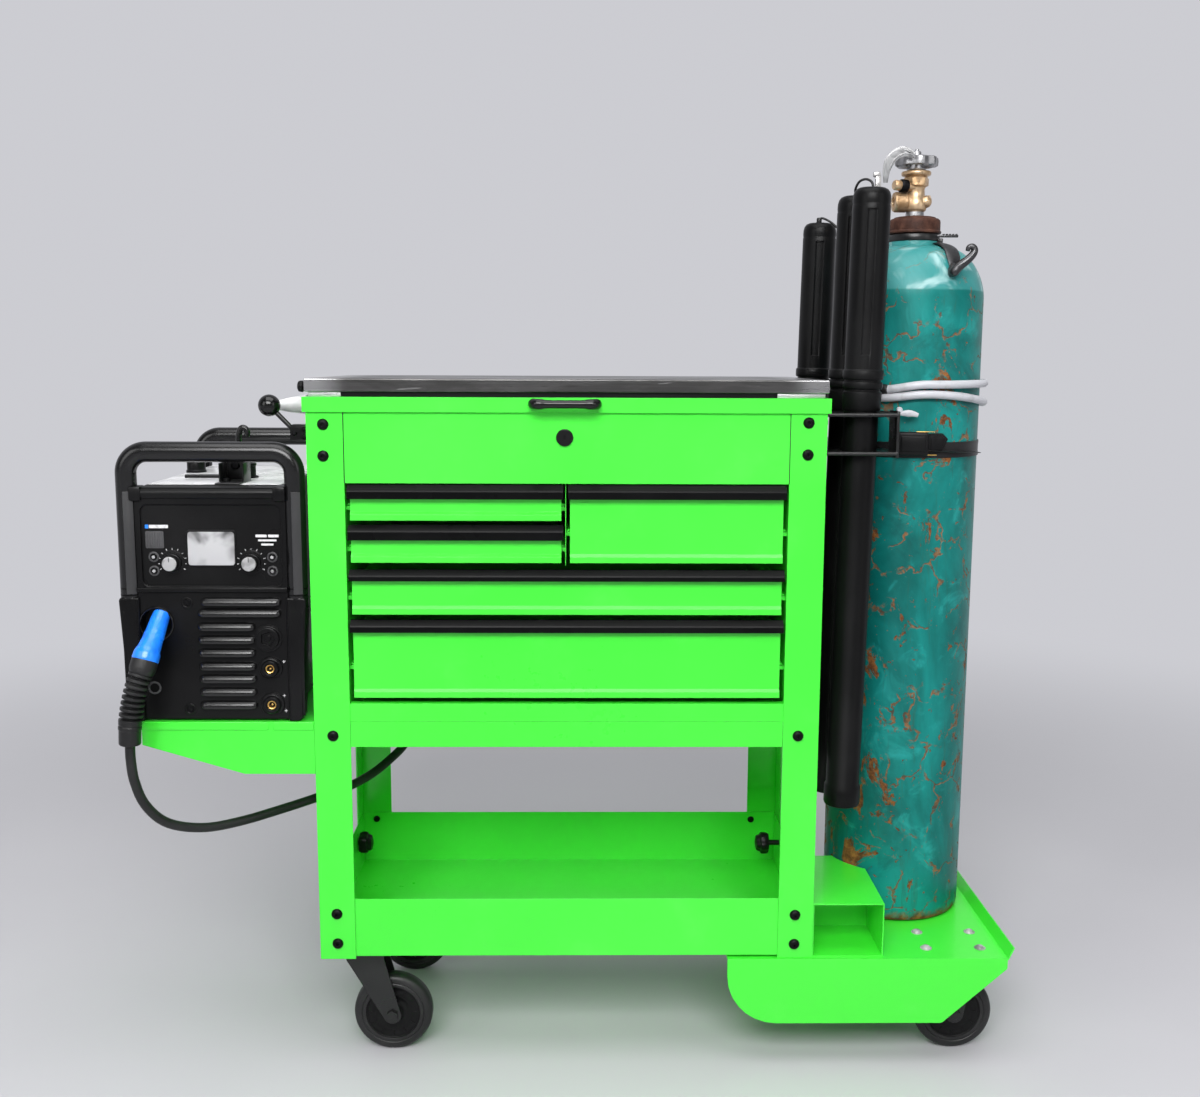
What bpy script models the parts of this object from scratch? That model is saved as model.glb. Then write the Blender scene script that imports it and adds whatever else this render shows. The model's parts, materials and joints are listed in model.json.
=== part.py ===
"""A welding cart with five drawers, a lidded top compartment, a welder on a side shelf
and a gas cylinder on a platform, modelled as it comes apart on a bench.

Metres, +Z up.  Places below are measured in the cart's own frame: x = 0 at the middle of
the cabinet, y = 0 at the front face of its posts, z = 0 on the floor.  The empty
"welding_cart" then moves the whole so that the origin lies under the middle of it all.
"""
from math import cos, pi, radians, sin

import bmesh
import bpy
from mathutils import Matrix, Vector

for old in list(bpy.data.objects):
    bpy.data.objects.remove(old, do_unlink=True)

# Clearances
GAP = 0.0003            # between two pieces that touch
RUN = 0.0008            # beside a piece that slides

# Cabinet and its posts
BODY_WIDTH = 0.775
BODY_DEPTH = 0.400
HALF = BODY_WIDTH / 2
POST_FLANGE = 0.055
POST_SHEET = 0.0025
POST_BOTTOM = 0.179
POST_TOP = 1.0367
CASE_BOTTOM = 0.5643    # underside of the drawer case
SKIN = 0.0012           # sheet of the drawer case
BACK_SHEET = 0.0015
CASE_HALF = HALF - POST_FLANGE + GAP  # half of the opening between the inner walls
FASCIA_BOTTOM = 0.931
FASCIA_SHEET = 0.0015
FASCIA_SET_BACK = 0.001
LIP_TOP = 0.5925        # the lip below the lowest drawer
DIVIDER_X = -0.0025
DIVIDER_BOTTOM = 0.806
RAIL_BOTTOM = 0.524     # the frame rail under the case
RAIL_SHEET = 0.0025
RAIL_FLANGE = 0.030

# Drawers
DRAWER_FRONT = 0.004    # how far the green fronts lie behind the posts' faces
DRAWER_SHEET = 0.0012
DRAWER_DEPTH = BODY_DEPTH - 0.030
DRAWER_SIDE_GAP = 0.0135
HEM_HEIGHT = 0.009
HEM_REACH = 0.0035
FRONT_EDGE = CASE_HALF - 0.0043
FRONT_INSET = 0.003     # green front narrower than its pull at each end
BOX_RAISE = 0.006
BOX_DROP = 0.013
RUNNER_WIDTH = 0.008
RUNNER_HEIGHT = 0.006
SLIDE_HEIGHT = 0.003
PULL_SHEET = 0.0018
PULL_REACH = 0.0125

# Lid and worktop
LID_WIDTH = BODY_WIDTH + 0.009
LID_FRONT = -0.0045
LID_BACK = BODY_DEPTH - 0.0015
LID_BOTTOM = 1.037
LID_TOP = 1.059
LID_SHEET = 0.0015
LID_HEM = 0.014
PLINTH_INSET = 0.010
PLINTH_WIDTH = 0.015
TOP_BOTTOM = 1.0665
TOP_TOP = 1.086
TOP_INSET = 0.003
TOP_SHEET = 0.002
TOP_RETURN = 0.030      # the sheet folded in under the worktop
HINGE_Y = BODY_DEPTH + 0.0035
HINGE_Z = 1.0365
HINGE_RADIUS = 0.004
HINGE_PIN_RADIUS = 0.0015
HINGE_HALF = HALF - 0.0875
HINGE_KNUCKLES = 9
LID_HANDLE_LEFT = -0.050
LID_HANDLE_RIGHT = 0.043
LID_HANDLE_REACH = 0.020
LID_HANDLE_RADIUS = 0.0062
LOCK_X = -0.004
LOCK_Z = 1.000
LOCK_RADIUS = 0.0113
LOCK_FLANGE = 0.0128

# Lower tray
TRAY_BOTTOM = 0.183
TRAY_TOP = 0.277
TRAY_SHEET = 0.0015

# Casters
WHEEL_RADIUS = 0.0635
WHEEL_HALF = 0.016
WHEEL_STEPS = 24        # a multiple of four, so that a corner stands on the floor
AXLE_RADIUS = 0.006
FORK_SHEET = 0.003
FORK_HALF = 0.0195
TRAIL = 0.042
SWIVEL_X = -HALF + 0.0625
SWIVEL_FRONT_Y = 0.060
SWIVEL_BACK_Y = BODY_DEPTH - 0.065
PLATE_THICK = 0.004
RIGID_X = HALF + 0.242
RIGID_FRONT_Y = 0.058
RIGID_BACK_Y = BODY_DEPTH - 0.055

# Bottle platform
PLATFORM_LEFT = HALF - 0.134
PLATFORM_RIGHT = HALF + 0.311
PLATFORM_FRONT = -0.003
PLATFORM_BACK = BODY_DEPTH + 0.003
PLATFORM_SHEET = 0.0025
PLATFORM_LIP_X = PLATFORM_RIGHT + 0.008
PLATFORM_LIP_Z = 0.197
SKIRT_BOTTOM = 0.070
SKIRT_CORNER = 0.080
SKIRT_SLOPE_X = PLATFORM_RIGHT - 0.101
SKIRT_SLOPE_Z = 0.1612
BOX_LEFT = HALF + 0.0005
BOX_RIGHT = BOX_LEFT + 0.113
BOX_FRONT = 0.004
BOX_BACK = 0.118
BOX_TOP = 0.267
BOX_SHELF_BACK = 0.205
BOX_SHEET = 0.002

# Gas cylinder
CYLINDER_X = HALF + 0.1795
CYLINDER_Y = 0.245
CYLINDER_RADIUS = 0.115
CYLINDER_WALL = 0.0055
NECK_RADIUS = 0.036
NECK_BORE = 0.009
COLLAR_TOP = 1.347
COLLAR_BOTTOM = COLLAR_TOP - 0.027
NECK_Z = COLLAR_BOTTOM - 0.020
SHOULDER_Z = NECK_Z - 0.084
VALVE_TALL = 0.0755
COLLAR_RADIUS = 0.0423
SADDLE_CLEAR = 0.0035
HANDWHEEL_Z = COLLAR_TOP + 0.089
HANDWHEEL_RADIUS = 0.0355
HANDWHEEL_THICK = 0.012
STRAP_Z = 0.974
STRAP_WIDTH = 0.025
STRAP_THICK = 0.0015
CABLE_RADIUS = 0.0065
CABLE_TOP_Z = 1.0758
CABLE_PITCH = 0.0137
CABLE_SPREAD = (0.004, -0.009)
CABLE_TURNS = 2
CABLE_START = radians(238.0)

# Rod canisters and their rack
CANISTER_RADIUS = 0.0285
CANISTER_TUBE = 0.0262
CANISTER_BOTTOM = 0.412
CANISTER_TOP = 1.372
SLEEVE_Z = 1.092
CANISTER_LEAN = radians(1.03)
CANISTER_PIVOT_Z = 0.976
CANISTERS = {
    "rod_canister_front": (HALF + 0.0612, 0.060, 0.0),
    "rod_canister_middle": (HALF + 0.0525, 0.131, -0.004),
    "rod_canister_back": (HALF + 0.0415, BODY_DEPTH - 0.022, -0.020),
}
RACK_SHEET = 0.003
RACK_PLATES = (0.976, 1.034)
RACK_RIGHT = HALF + 0.111
RACK_FRONT = 0.018
RACK_BACK = BODY_DEPTH + 0.020
RACK_FIT = 0.0006        # the canisters are held snugly in the rack's holes
BRACKET_BOTTOM = 0.487
BRACKET_TOP = 1.030
BRACKET_FRONT = 0.062
BRACKET_BACK = BODY_DEPTH - 0.060
BRACKET_THICK = 0.0045

# Welder and its shelf
SHELF_TOP = 0.564
SHELF_LEFT = -HALF - 0.2635
SHELF_BACK = BODY_DEPTH + 0.015
SHELF_SHEET = 0.0025
SHELF_FLANGE = 0.0175
SHELF_FOOT = SHELF_TOP - 0.0825
WELDER_LEFT = -HALF - 0.290
WELDER_RIGHT = -HALF - 0.007
WELDER_BASE = 0.5665
WELDER_TOP = 0.925
WELDER_CASE_FRONT = 0.032
WELDER_CASE_BACK = BODY_DEPTH - 0.002
CASE_SIDE_INSET = 0.036
CASE_SHEET = 0.0025
BAR_RADIUS = 0.0155
BAR_TOP = 0.976
BAR_CORNER = 0.032
BAR_BOTTOM = 0.740
BUMPER_TOP = 0.757
BUMPER_TAPER = 0.010
BAR_FRONT_Y = 0.016
BAR_BACK_Y = BODY_DEPTH + 0.016
PANEL_BOTTOM = 0.773
PANEL_TOP = 0.8980
PANEL_RECESS = 0.004
FACE_Y = 0.006
LOUVRES = 8
LOUVRE_TOP = 0.755
LOUVRE_PITCH = 0.0195
LOUVRE_SLOT = 0.0085
LOUVRE_LEFT = WELDER_LEFT + 0.1205
LOUVRE_RIGHT = WELDER_LEFT + 0.1995
KNOB_Z = 0.8095
KNOB_X = (WELDER_LEFT + 0.0817, WELDER_LEFT + 0.2004)
KNOB_RADIUS = 0.0145
BUTTONS = {
    "button_left_upper": (WELDER_LEFT + 0.0539, 0.8178),
    "button_left_lower": (WELDER_LEFT + 0.0539, 0.7965),
    "button_right_upper": (WELDER_LEFT + 0.2320, 0.8178),
    "button_right_lower": (WELDER_LEFT + 0.2320, 0.7965),
}
BUTTON_RADIUS = 0.0052
DISPLAY_LEFT = WELDER_LEFT + 0.1084
DISPLAY_RIGHT = WELDER_LEFT + 0.1795
DISPLAY_BOTTOM = 0.8057
DISPLAY_TOP = 0.8601

# Ball lever beside the lid
LEVER_Y = 0.030
LEVER_X = -HALF - 0.0205
LEVER_Z = 1.0040
LEVER_BALL = (LEVER_X - 0.0395, 1.0450)
BALL_RADIUS = 0.0165
LEVER_PIN_RADIUS = 0.0019

# Gun lead: an outer diameter, a route chosen by hand, and a coil of the rest
LEAD_RADIUS = 0.0075
PLUG_X, PLUG_Z = WELDER_LEFT + 0.0610, 0.7360
PLUG_ROUTE = [
    (PLUG_X, 0.0085, PLUG_Z),
    (WELDER_LEFT + 0.0575, -0.0080, 0.7290),
    (WELDER_LEFT + 0.0513, -0.0270, 0.7080),
    (WELDER_LEFT + 0.0445, -0.0400, 0.6800),
    (WELDER_LEFT + 0.0375, -0.0480, 0.6450),
    (WELDER_LEFT + 0.0307, -0.0500, 0.6050),
    (WELDER_LEFT + 0.0256, -0.0500, 0.5730),
    (WELDER_LEFT + 0.0254, -0.0500, 0.5430),
]
LEAD_ROUTE = [
    (WELDER_LEFT + 0.0254, -0.0500, 0.5425),
    (WELDER_LEFT + 0.0254, -0.0500, 0.5200),
    (WELDER_LEFT + 0.0285, -0.0470, 0.4850),
    (WELDER_LEFT + 0.0395, -0.0360, 0.4440),
    (WELDER_LEFT + 0.0645, -0.0140, 0.4080),
    (WELDER_LEFT + 0.1075, 0.0220, 0.3870),
    (WELDER_LEFT + 0.1575, 0.0600, 0.3840),
    (WELDER_LEFT + 0.2145, 0.1020, 0.3895),
    (WELDER_LEFT + 0.2605, 0.1420, 0.3940),
    (-0.3700, 0.1950, 0.3970),
    (-0.3400, 0.2380, 0.4040),
    (-0.3150, 0.2720, 0.4180),
    (-0.2930, 0.3040, 0.4360),
    (-0.2825, 0.3400, 0.4620),
    (-0.2820, 0.3800, 0.4900),
    (-0.2905, BODY_DEPTH + 0.0180, 0.5075),
    (-0.3035, BODY_DEPTH + 0.0550, 0.5135),
    (-0.3195, BODY_DEPTH + 0.0900, 0.5040),
    (-0.3360, BODY_DEPTH + 0.1170, 0.4780),
    (-0.3530, BODY_DEPTH + 0.1310, 0.4350),
    (-0.3670, BODY_DEPTH + 0.1360, 0.3800),
    (-0.3745, BODY_DEPTH + 0.1365, 0.3200),
    (-0.3765, BODY_DEPTH + 0.1365, 0.2500),
    (-0.3740, BODY_DEPTH + 0.1365, 0.1750),
    (-0.3620, BODY_DEPTH + 0.1365, 0.1080),
    (-0.3370, BODY_DEPTH + 0.1365, 0.0560),
    (-0.2960, BODY_DEPTH + 0.1365, 0.0220),
    (-0.2480, BODY_DEPTH + 0.1365, 0.0095),
    (-0.1900, BODY_DEPTH + 0.1365, 0.0078),
    (-0.1250, BODY_DEPTH + 0.1365, 0.0078),
    (-0.0650, BODY_DEPTH + 0.1365, 0.0078),
]
LEAD_STEP = 0.032
COIL_CENTRE = (-0.050, BODY_DEPTH + 0.235)
COIL_RADIUS = 0.0985
COIL_PITCH = 0.0158
COIL_LAYER = 0.0156
COIL_TURNS = 3.0
COIL_START_X = -0.0647
FLOOR_LEVEL = 0.0078
GUN_X = 0.100
GUN_Z = 0.0165
HOOK_RADIUS = 0.005
HOOK_Y = BODY_DEPTH + 0.055
HOOK_Z = 0.5005

LEFT_REACH = WELDER_LEFT
LIP = Vector((PLATFORM_LIP_X - PLATFORM_RIGHT, PLATFORM_LIP_Z - POST_BOTTOM + GAP)).normalized()
RIGHT_REACH = PLATFORM_LIP_X + PLATFORM_SHEET * LIP.y
FRONT_REACH = LID_FRONT - LID_HANDLE_REACH - LID_HANDLE_RADIUS
BACK_REACH = HOOK_Y + HOOK_RADIUS

PARTS = bpy.data.collections.new("welding_cart")
CUTTERS = bpy.data.collections.new("cutters")
for group in (PARTS, CUTTERS):
    bpy.context.scene.collection.children.link(group)

CART = bpy.data.objects.new("welding_cart", None)
CART.location = (-(LEFT_REACH + RIGHT_REACH) / 2, -(FRONT_REACH + BACK_REACH) / 2, 0.0)
PARTS.objects.link(CART)


# Finishes

def finish(name, colour, roughness, metallic=0.0):
    made = bpy.data.materials.new(name)
    made.use_nodes = True
    shader = made.node_tree.nodes["Principled BSDF"]
    shader.inputs["Base Color"].default_value = (*colour, 1.0)
    shader.inputs["Roughness"].default_value = roughness
    shader.inputs["Metallic"].default_value = metallic
    made.diffuse_color = (*colour, 1.0)
    return made


GREEN = finish("green_paint", (0.09, 0.86, 0.05), 0.35)
BLACK = finish("black_plastic", (0.012, 0.012, 0.013), 0.42)
BLACK_METAL = finish("black_metal", (0.02, 0.02, 0.021), 0.4, 0.6)
RUBBER = finish("black_rubber", (0.015, 0.015, 0.016), 0.75)
STEEL = finish("stainless_steel", (0.55, 0.55, 0.56), 0.32, 1.0)
TEAL = finish("teal_paint", (0.02, 0.26, 0.25), 0.5)
BRASS = finish("brass", (0.55, 0.38, 0.16), 0.4, 1.0)
GREY = finish("grey_vinyl", (0.42, 0.43, 0.46), 0.45)
BLUE = finish("blue_plastic", (0.01, 0.16, 0.85), 0.35)
DARK = finish("welder_front", (0.02, 0.02, 0.022), 0.5)


# Building blocks

def add(name, data, material=None):
    """Put new geometry in the model, or among the cutters where it has no finish."""
    made = bpy.data.objects.new(name, data)
    made.parent = CART
    if material:
        PARTS.objects.link(made)
        data.materials.append(material)
    else:
        CUTTERS.objects.link(made)
        made.hide_render = True
        made.display_type = "WIRE"
    return made


def pivot(name, point):
    """An empty on a joint's axis, which the pieces of a moving body hang on."""
    made = bpy.data.objects.new(name, None)
    made.parent = CART
    made.location = point
    PARTS.objects.link(made)
    return made


def hang(piece, holder):
    piece.parent = holder
    piece.location = Vector(piece.location) - Vector(holder.location)


def smooth(mesh, angle=35.0):
    mesh.shade_smooth()
    mesh.set_sharp_from_angle(angle=radians(angle))


def block(name, low, high, material=None):
    mesh = bpy.data.meshes.new(name)
    size = [b - a for a, b in zip(low, high)]
    middle = [(a + b) / 2 for a, b in zip(low, high)]
    shaped = bmesh.new()
    bmesh.ops.create_cube(
        shaped, size=1.0, matrix=Matrix.Translation(middle) @ Matrix.Diagonal((*size, 1.0)))
    shaped.to_mesh(mesh)
    shaped.free()
    return add(name, mesh, material)


def rod(name, start, end, radius, material=None, sides=16, end_radius=None):
    """A round bar, or a cone, between two points."""
    start, end = Vector(start), Vector(end)
    way = end - start
    turn = way.to_track_quat("Z", "Y").to_matrix().to_4x4()
    mesh = bpy.data.meshes.new(name)
    shaped = bmesh.new()
    bmesh.ops.create_cone(
        shaped, cap_ends=True, segments=sides, radius1=radius,
        radius2=radius if end_radius is None else end_radius, depth=way.length,
        matrix=Matrix.Translation((start + end) / 2) @ turn)
    shaped.to_mesh(mesh)
    shaped.free()
    smooth(mesh)
    return add(name, mesh, material)


def ball(name, centre, radius, material=None, rings=8, sides=14):
    mesh = bpy.data.meshes.new(name)
    shaped = bmesh.new()
    bmesh.ops.create_uvsphere(
        shaped, u_segments=sides, v_segments=rings, radius=radius,
        matrix=Matrix.Translation(centre))
    shaped.to_mesh(mesh)
    shaped.free()
    smooth(mesh)
    return add(name, mesh, material)


def welded(curve_object, name, material):
    """The mesh of a curve, with its caps joined on, in place of the curve."""
    evaluated = curve_object.evaluated_get(bpy.context.evaluated_depsgraph_get())
    mesh = bpy.data.meshes.new_from_object(evaluated)
    mesh.transform(curve_object.matrix_basis)
    shaped = bmesh.new()
    shaped.from_mesh(mesh)
    bmesh.ops.remove_doubles(shaped, verts=shaped.verts, dist=0.000005)
    bmesh.ops.recalc_face_normals(shaped, faces=shaped.faces)
    shaped.to_mesh(mesh)
    shaped.free()
    mesh.name = name
    mesh.materials.clear()
    smooth(mesh)
    bpy.data.objects.remove(curve_object, do_unlink=True)
    return add(name, mesh, material)


AXES = {
    "X": Matrix(((0, 0, 1), (1, 0, 0), (0, 1, 0))),
    "Y": Matrix(((1, 0, 0), (0, 0, -1), (0, 1, 0))),
    "Z": Matrix(((1, 0, 0), (0, 1, 0), (0, 0, 1))),
}


def prism(name, outline, axis, start, end, material=None, holes=()):
    """A flat outline with holes, drawn across an axis and extruded along it."""
    curve = bpy.data.curves.new(name, "CURVE")
    curve.dimensions = "2D"
    curve.fill_mode = "BOTH"
    curve.extrude = abs(end - start) / 2
    for ring in (outline, *holes):
        line = curve.splines.new("POLY")
        line.points.add(len(ring) - 1)
        for point, (u, v) in zip(line.points, ring):
            point.co = (u, v, 0.0, 1.0)
        line.use_cyclic_u = True
    drawn = bpy.data.objects.new(name, curve)
    CUTTERS.objects.link(drawn)
    offset = {"X": (1, 0, 0), "Y": (0, 1, 0), "Z": (0, 0, 1)}[axis]
    drawn.matrix_basis = (
        Matrix.Translation(Vector(offset) * (start + end) / 2) @ AXES[axis].to_4x4())
    return welded(drawn, name, material)


def turned(name, profile, at, material=None, axis="Z", steps=32):
    """A turned shape: (radius, height) points, top to bottom on the outer side."""
    closed = profile[0][0] > 0.0 or profile[-1][0] > 0.0
    mesh = bpy.data.meshes.new(name)
    edges = [(i, i + 1) for i in range(len(profile) - 1)]
    if closed:
        edges.append((len(profile) - 1, 0))
    mesh.from_pydata([(r, 0.0, h) for r, h in profile], edges, [])
    made = add(name, mesh, material)
    made.location = at
    made.rotation_euler = {"Z": (0, 0, 0), "Y": (-pi / 2, 0, 0), "X": (0, pi / 2, 0)}[axis]
    spin = made.modifiers.new("Turn", "SCREW")
    spin.steps = steps
    spin.render_steps = steps
    spin.use_merge_vertices = True
    spin.merge_threshold = 0.00001
    spin.use_smooth_shade = True
    return made


def tube(name, points, radius, material=None, resolution=2, radii=None):
    curve = bpy.data.curves.new(name, "CURVE")
    curve.dimensions = "3D"
    curve.bevel_depth = radius
    curve.bevel_resolution = resolution
    curve.use_fill_caps = True
    line = curve.splines.new("POLY")
    line.points.add(len(points) - 1)
    for i, (point, place) in enumerate(zip(line.points, points)):
        point.co = (*place, 1.0)
        point.radius = radii[i] / radius if radii else 1.0
    drawn = bpy.data.objects.new(name, curve)
    CUTTERS.objects.link(drawn)
    return welded(drawn, name, material)


def combine(base, operation, operands):
    for other in operands:
        step = base.modifiers.new(other.name, "BOOLEAN")
        step.operation = operation
        step.solver = "EXACT"
        step.object = other
    return base


def join(base, *operands):
    return combine(base, "UNION", operands)


def cut(base, *operands):
    return combine(base, "DIFFERENCE", operands)


def soften(piece, width, segments=2, angle=40.0):
    step = piece.modifiers.new("Rounded edges", "BEVEL")
    step.width = width
    step.segments = segments
    step.limit_method = "ANGLE"
    step.angle_limit = radians(angle)
    return piece


# Outlines and routes

def ring(radius, sides, centre=(0.0, 0.0), start=0.0):
    return [
        (centre[0] + radius * cos(start + 2 * pi * i / sides),
         centre[1] + radius * sin(start + 2 * pi * i / sides))
        for i in range(sides)]


def strip(line, thickness):
    """The outline of a bent sheet: one face follows line and the other lies to its left."""
    line = [Vector(p) for p in line]
    other = []
    for i, point in enumerate(line):
        ways = []
        if i:
            ways.append((point - line[i - 1]).normalized())
        if i + 1 < len(line):
            ways.append((line[i + 1] - point).normalized())
        sides = [Vector((-w.y, w.x)) for w in ways]
        mitre = sides[0] if len(sides) == 1 else (
            (sides[0] + sides[1]) / (1.0 + sides[0].dot(sides[1])))
        other.append(point + mitre * thickness)
    return [tuple(p) for p in line + other[::-1]]


def rounded(points, radii, steps=4, closed=True):
    """Points with the corners turned into arcs, in two or three dimensions."""
    points = [Vector(p) for p in points]
    if not isinstance(radii, (list, tuple)):
        radii = [radii] * len(points)
    out = []
    count = len(points)
    for i, point in enumerate(points):
        if radii[i] <= 0.0 or (not closed and i in (0, count - 1)):
            out.append(point)
            continue
        to_last = (points[i - 1] - point).normalized()
        to_next = (points[(i + 1) % count] - point).normalized()
        half = to_last.angle(to_next) / 2
        back_off = radii[i] / (sin(half) / cos(half))
        centre = point + (to_last + to_next).normalized() * (radii[i] / sin(half))
        first = point + to_last * back_off - centre
        last = point + to_next * back_off - centre
        span = first.angle(last)
        for k in range(steps + 1):
            share = k / steps
            spoke = (first * sin((1 - share) * span) + last * sin(share * span)) / sin(span)
            out.append(centre + spoke)
    return [tuple(p) for p in out]


def smooth_route(points, step):
    """A smooth curve through points, read at even steps."""
    points = [Vector(p) for p in points]
    ends = [points[0] * 2 - points[1], *points, points[-1] * 2 - points[-2]]
    fine = []
    for i in range(1, len(ends) - 2):
        a, b, c, d = ends[i - 1:i + 3]
        for k in range(12):
            t = k / 12
            fine.append(0.5 * (
                2 * b + (c - a) * t + (2 * a - 5 * b + 4 * c - d) * t * t
                + (3 * b - a - 3 * c + d) * t ** 3))
    fine.append(points[-1])
    lengths = [0.0]
    for a, b in zip(fine, fine[1:]):
        lengths.append(lengths[-1] + (b - a).length)
    count = max(2, round(lengths[-1] / step))
    out = []
    j = 0
    for k in range(count + 1):
        want = lengths[-1] * k / count
        while j < len(lengths) - 2 and lengths[j + 1] < want:
            j += 1
        share = (want - lengths[j]) / (lengths[j + 1] - lengths[j])
        out.append(tuple(fine[j].lerp(fine[j + 1], min(1.0, share))))
    return out


# Cabinet

SKIN_X = HALF - POST_SHEET - GAP          # outer face of the case's side
CASE_FRONT = POST_SHEET + GAP
CASE_BACK = BODY_DEPTH - POST_SHEET - GAP
CASE_TOP = POST_TOP


def post(name, side, at_back):
    """A bent angle at one corner of the cart."""
    face = BODY_DEPTH if at_back else 0.0
    inward = -1 if at_back else 1
    line = [
        (side * HALF, face + inward * POST_FLANGE), (side * HALF, face),
        (side * (HALF - POST_FLANGE), face)]
    sheet = POST_SHEET * (-side) * inward
    return prism(name, strip(line, sheet), "Z", POST_BOTTOM, POST_TOP, GREEN)


def side_panel(name, side, rails):
    """A double wall, bent from one sheet, with the runners of the drawers on it."""
    inner = CASE_HALF
    line = [
        (side * inner, CASE_BACK - BACK_SHEET - GAP), (side * inner, CASE_FRONT),
        (side * SKIN_X, CASE_FRONT), (side * SKIN_X, CASE_BACK)]
    panel = prism(
        name, strip(line, SKIN * side), "Z", CASE_BOTTOM, CASE_TOP, GREEN)
    for i, z in enumerate(rails):
        runner = block(
            f"{name}_runner_{i}",
            (min(side * (CASE_HALF - RUNNER_WIDTH), side * (CASE_HALF + SKIN / 2)),
             0.015, z - RUNNER_HEIGHT),
            (max(side * (CASE_HALF - RUNNER_WIDTH), side * (CASE_HALF + SKIN / 2)),
             DRAWER_DEPTH + 0.015, z))
        join(panel, runner)
    return panel


DRAWERS = {
    # name: left, right, bottom, top, bottom of the pull
    "upper_left_drawer": (-FRONT_EDGE, -0.0060, 0.8750, 0.9295, 0.9080),
    "lower_left_drawer": (-FRONT_EDGE, -0.0060, 0.8110, 0.8690, 0.8460),
    "upper_right_drawer": (0.0010, FRONT_EDGE, 0.8110, 0.9295, 0.9080),
    "middle_drawer": (-FRONT_EDGE, FRONT_EDGE, 0.7315, 0.8010, 0.7840),
    "bottom_drawer": (-FRONT_EDGE, FRONT_EDGE, 0.6020, 0.7240, 0.7050),
}


def runner_top(drawer):
    """The height that a drawer's slides rest at."""
    _, _, bottom, top, _ = DRAWERS[drawer]
    return bottom + BOX_RAISE + 0.4 * (top - BOX_DROP - bottom - BOX_RAISE)


left_rails = [runner_top(d) for d in DRAWERS if DRAWERS[d][0] < -0.1]
right_rails = [runner_top(d) for d in DRAWERS if DRAWERS[d][1] > 0.1]
side_panel("cabinet_side_left", -1, left_rails)
side_panel("cabinet_side_right", 1, right_rails)

front_left_post = post("corner_post_front_left", -1, False)
post("corner_post_front_right", 1, False)
post("corner_post_rear_right", 1, True)

# The rear left post carries a bent hook that the gun lead hangs over.
hooked_post = post("corner_post_rear_left", -1, True)
HOOK_LEFT = -(HALF - POST_FLANGE / 2)
HOOK_RIGHT = -0.215
hook = tube(
    "cable_hook",
    rounded([
        (HOOK_LEFT, BODY_DEPTH - POST_SHEET / 2, HOOK_Z), (HOOK_LEFT, HOOK_Y, HOOK_Z),
        (HOOK_RIGHT, HOOK_Y, HOOK_Z), (HOOK_RIGHT, HOOK_Y, HOOK_Z + 0.045)],
        [0.0, 0.020, 0.014, 0.0], 4, closed=False),
    HOOK_RADIUS, resolution=2)
join(hooked_post, hook)

INSIDE = SKIN_X - SKIN - GAP
floor_sheet = block(
    "cabinet_floor", (-(CASE_HALF - GAP), FASCIA_SET_BACK, CASE_BOTTOM),
    (CASE_HALF - GAP, CASE_BACK - BACK_SHEET - GAP, CASE_BOTTOM + FASCIA_SHEET), GREEN)
floor_lip = block(
    "cabinet_floor_lip", (-(CASE_HALF - GAP), FASCIA_SET_BACK, CASE_BOTTOM),
    (CASE_HALF - GAP, FASCIA_SET_BACK + FASCIA_SHEET, LIP_TOP))
floor_return = block(
    "cabinet_floor_return", (-(CASE_HALF - GAP), FASCIA_SET_BACK, LIP_TOP - FASCIA_SHEET),
    (CASE_HALF - GAP, 0.016, LIP_TOP))
join(floor_sheet, floor_lip, floor_return)

compartment = block(
    "compartment_pan", (-(CASE_HALF - GAP), FASCIA_SET_BACK, FASCIA_BOTTOM),
    (CASE_HALF - GAP, CASE_BACK - BACK_SHEET - GAP, FASCIA_BOTTOM + SKIN), GREEN)
fascia = block(
    "compartment_fascia", (-(CASE_HALF - GAP), FASCIA_SET_BACK, FASCIA_BOTTOM),
    (CASE_HALF - GAP, FASCIA_SET_BACK + FASCIA_SHEET, CASE_TOP))
divider = block(
    "compartment_divider", (DIVIDER_X - SKIN / 2, 0.007, DIVIDER_BOTTOM),
    (DIVIDER_X + SKIN / 2, CASE_BACK - BACK_SHEET - GAP, FASCIA_BOTTOM + SKIN / 2))
join(compartment, fascia, divider)
for drawer in ("upper_left_drawer", "lower_left_drawer", "upper_right_drawer"):
    side = -1 if DRAWERS[drawer][0] < -0.1 else 1
    z = runner_top(drawer)
    ends = sorted((DIVIDER_X, DIVIDER_X + side * (SKIN / 2 + RUNNER_WIDTH)))
    join(compartment, block(
        f"{drawer}_middle_runner", (ends[0], 0.015, z - RUNNER_HEIGHT),
        (ends[1], DRAWER_DEPTH + 0.015, z)))
cut(compartment, rod(
    "lock_hole", (LOCK_X, -0.01, LOCK_Z), (LOCK_X, 0.01, LOCK_Z), LOCK_RADIUS + GAP, sides=20))

# The back carries the fixed half of the lid's long hinge, with its pin.
back = block(
    "cabinet_back", (-INSIDE, CASE_BACK - BACK_SHEET, CASE_BOTTOM),
    (INSIDE, CASE_BACK, CASE_TOP), GREEN)
back_leaf = block(
    "hinge_back_leaf", (-HINGE_HALF, CASE_BACK - BACK_SHEET / 2, HINGE_Z - 0.035),
    (HINGE_HALF, HINGE_Y - 0.003, HINGE_Z - 0.001))
join(back, back_leaf)
KNUCKLE = 2 * HINGE_HALF / HINGE_KNUCKLES


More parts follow.
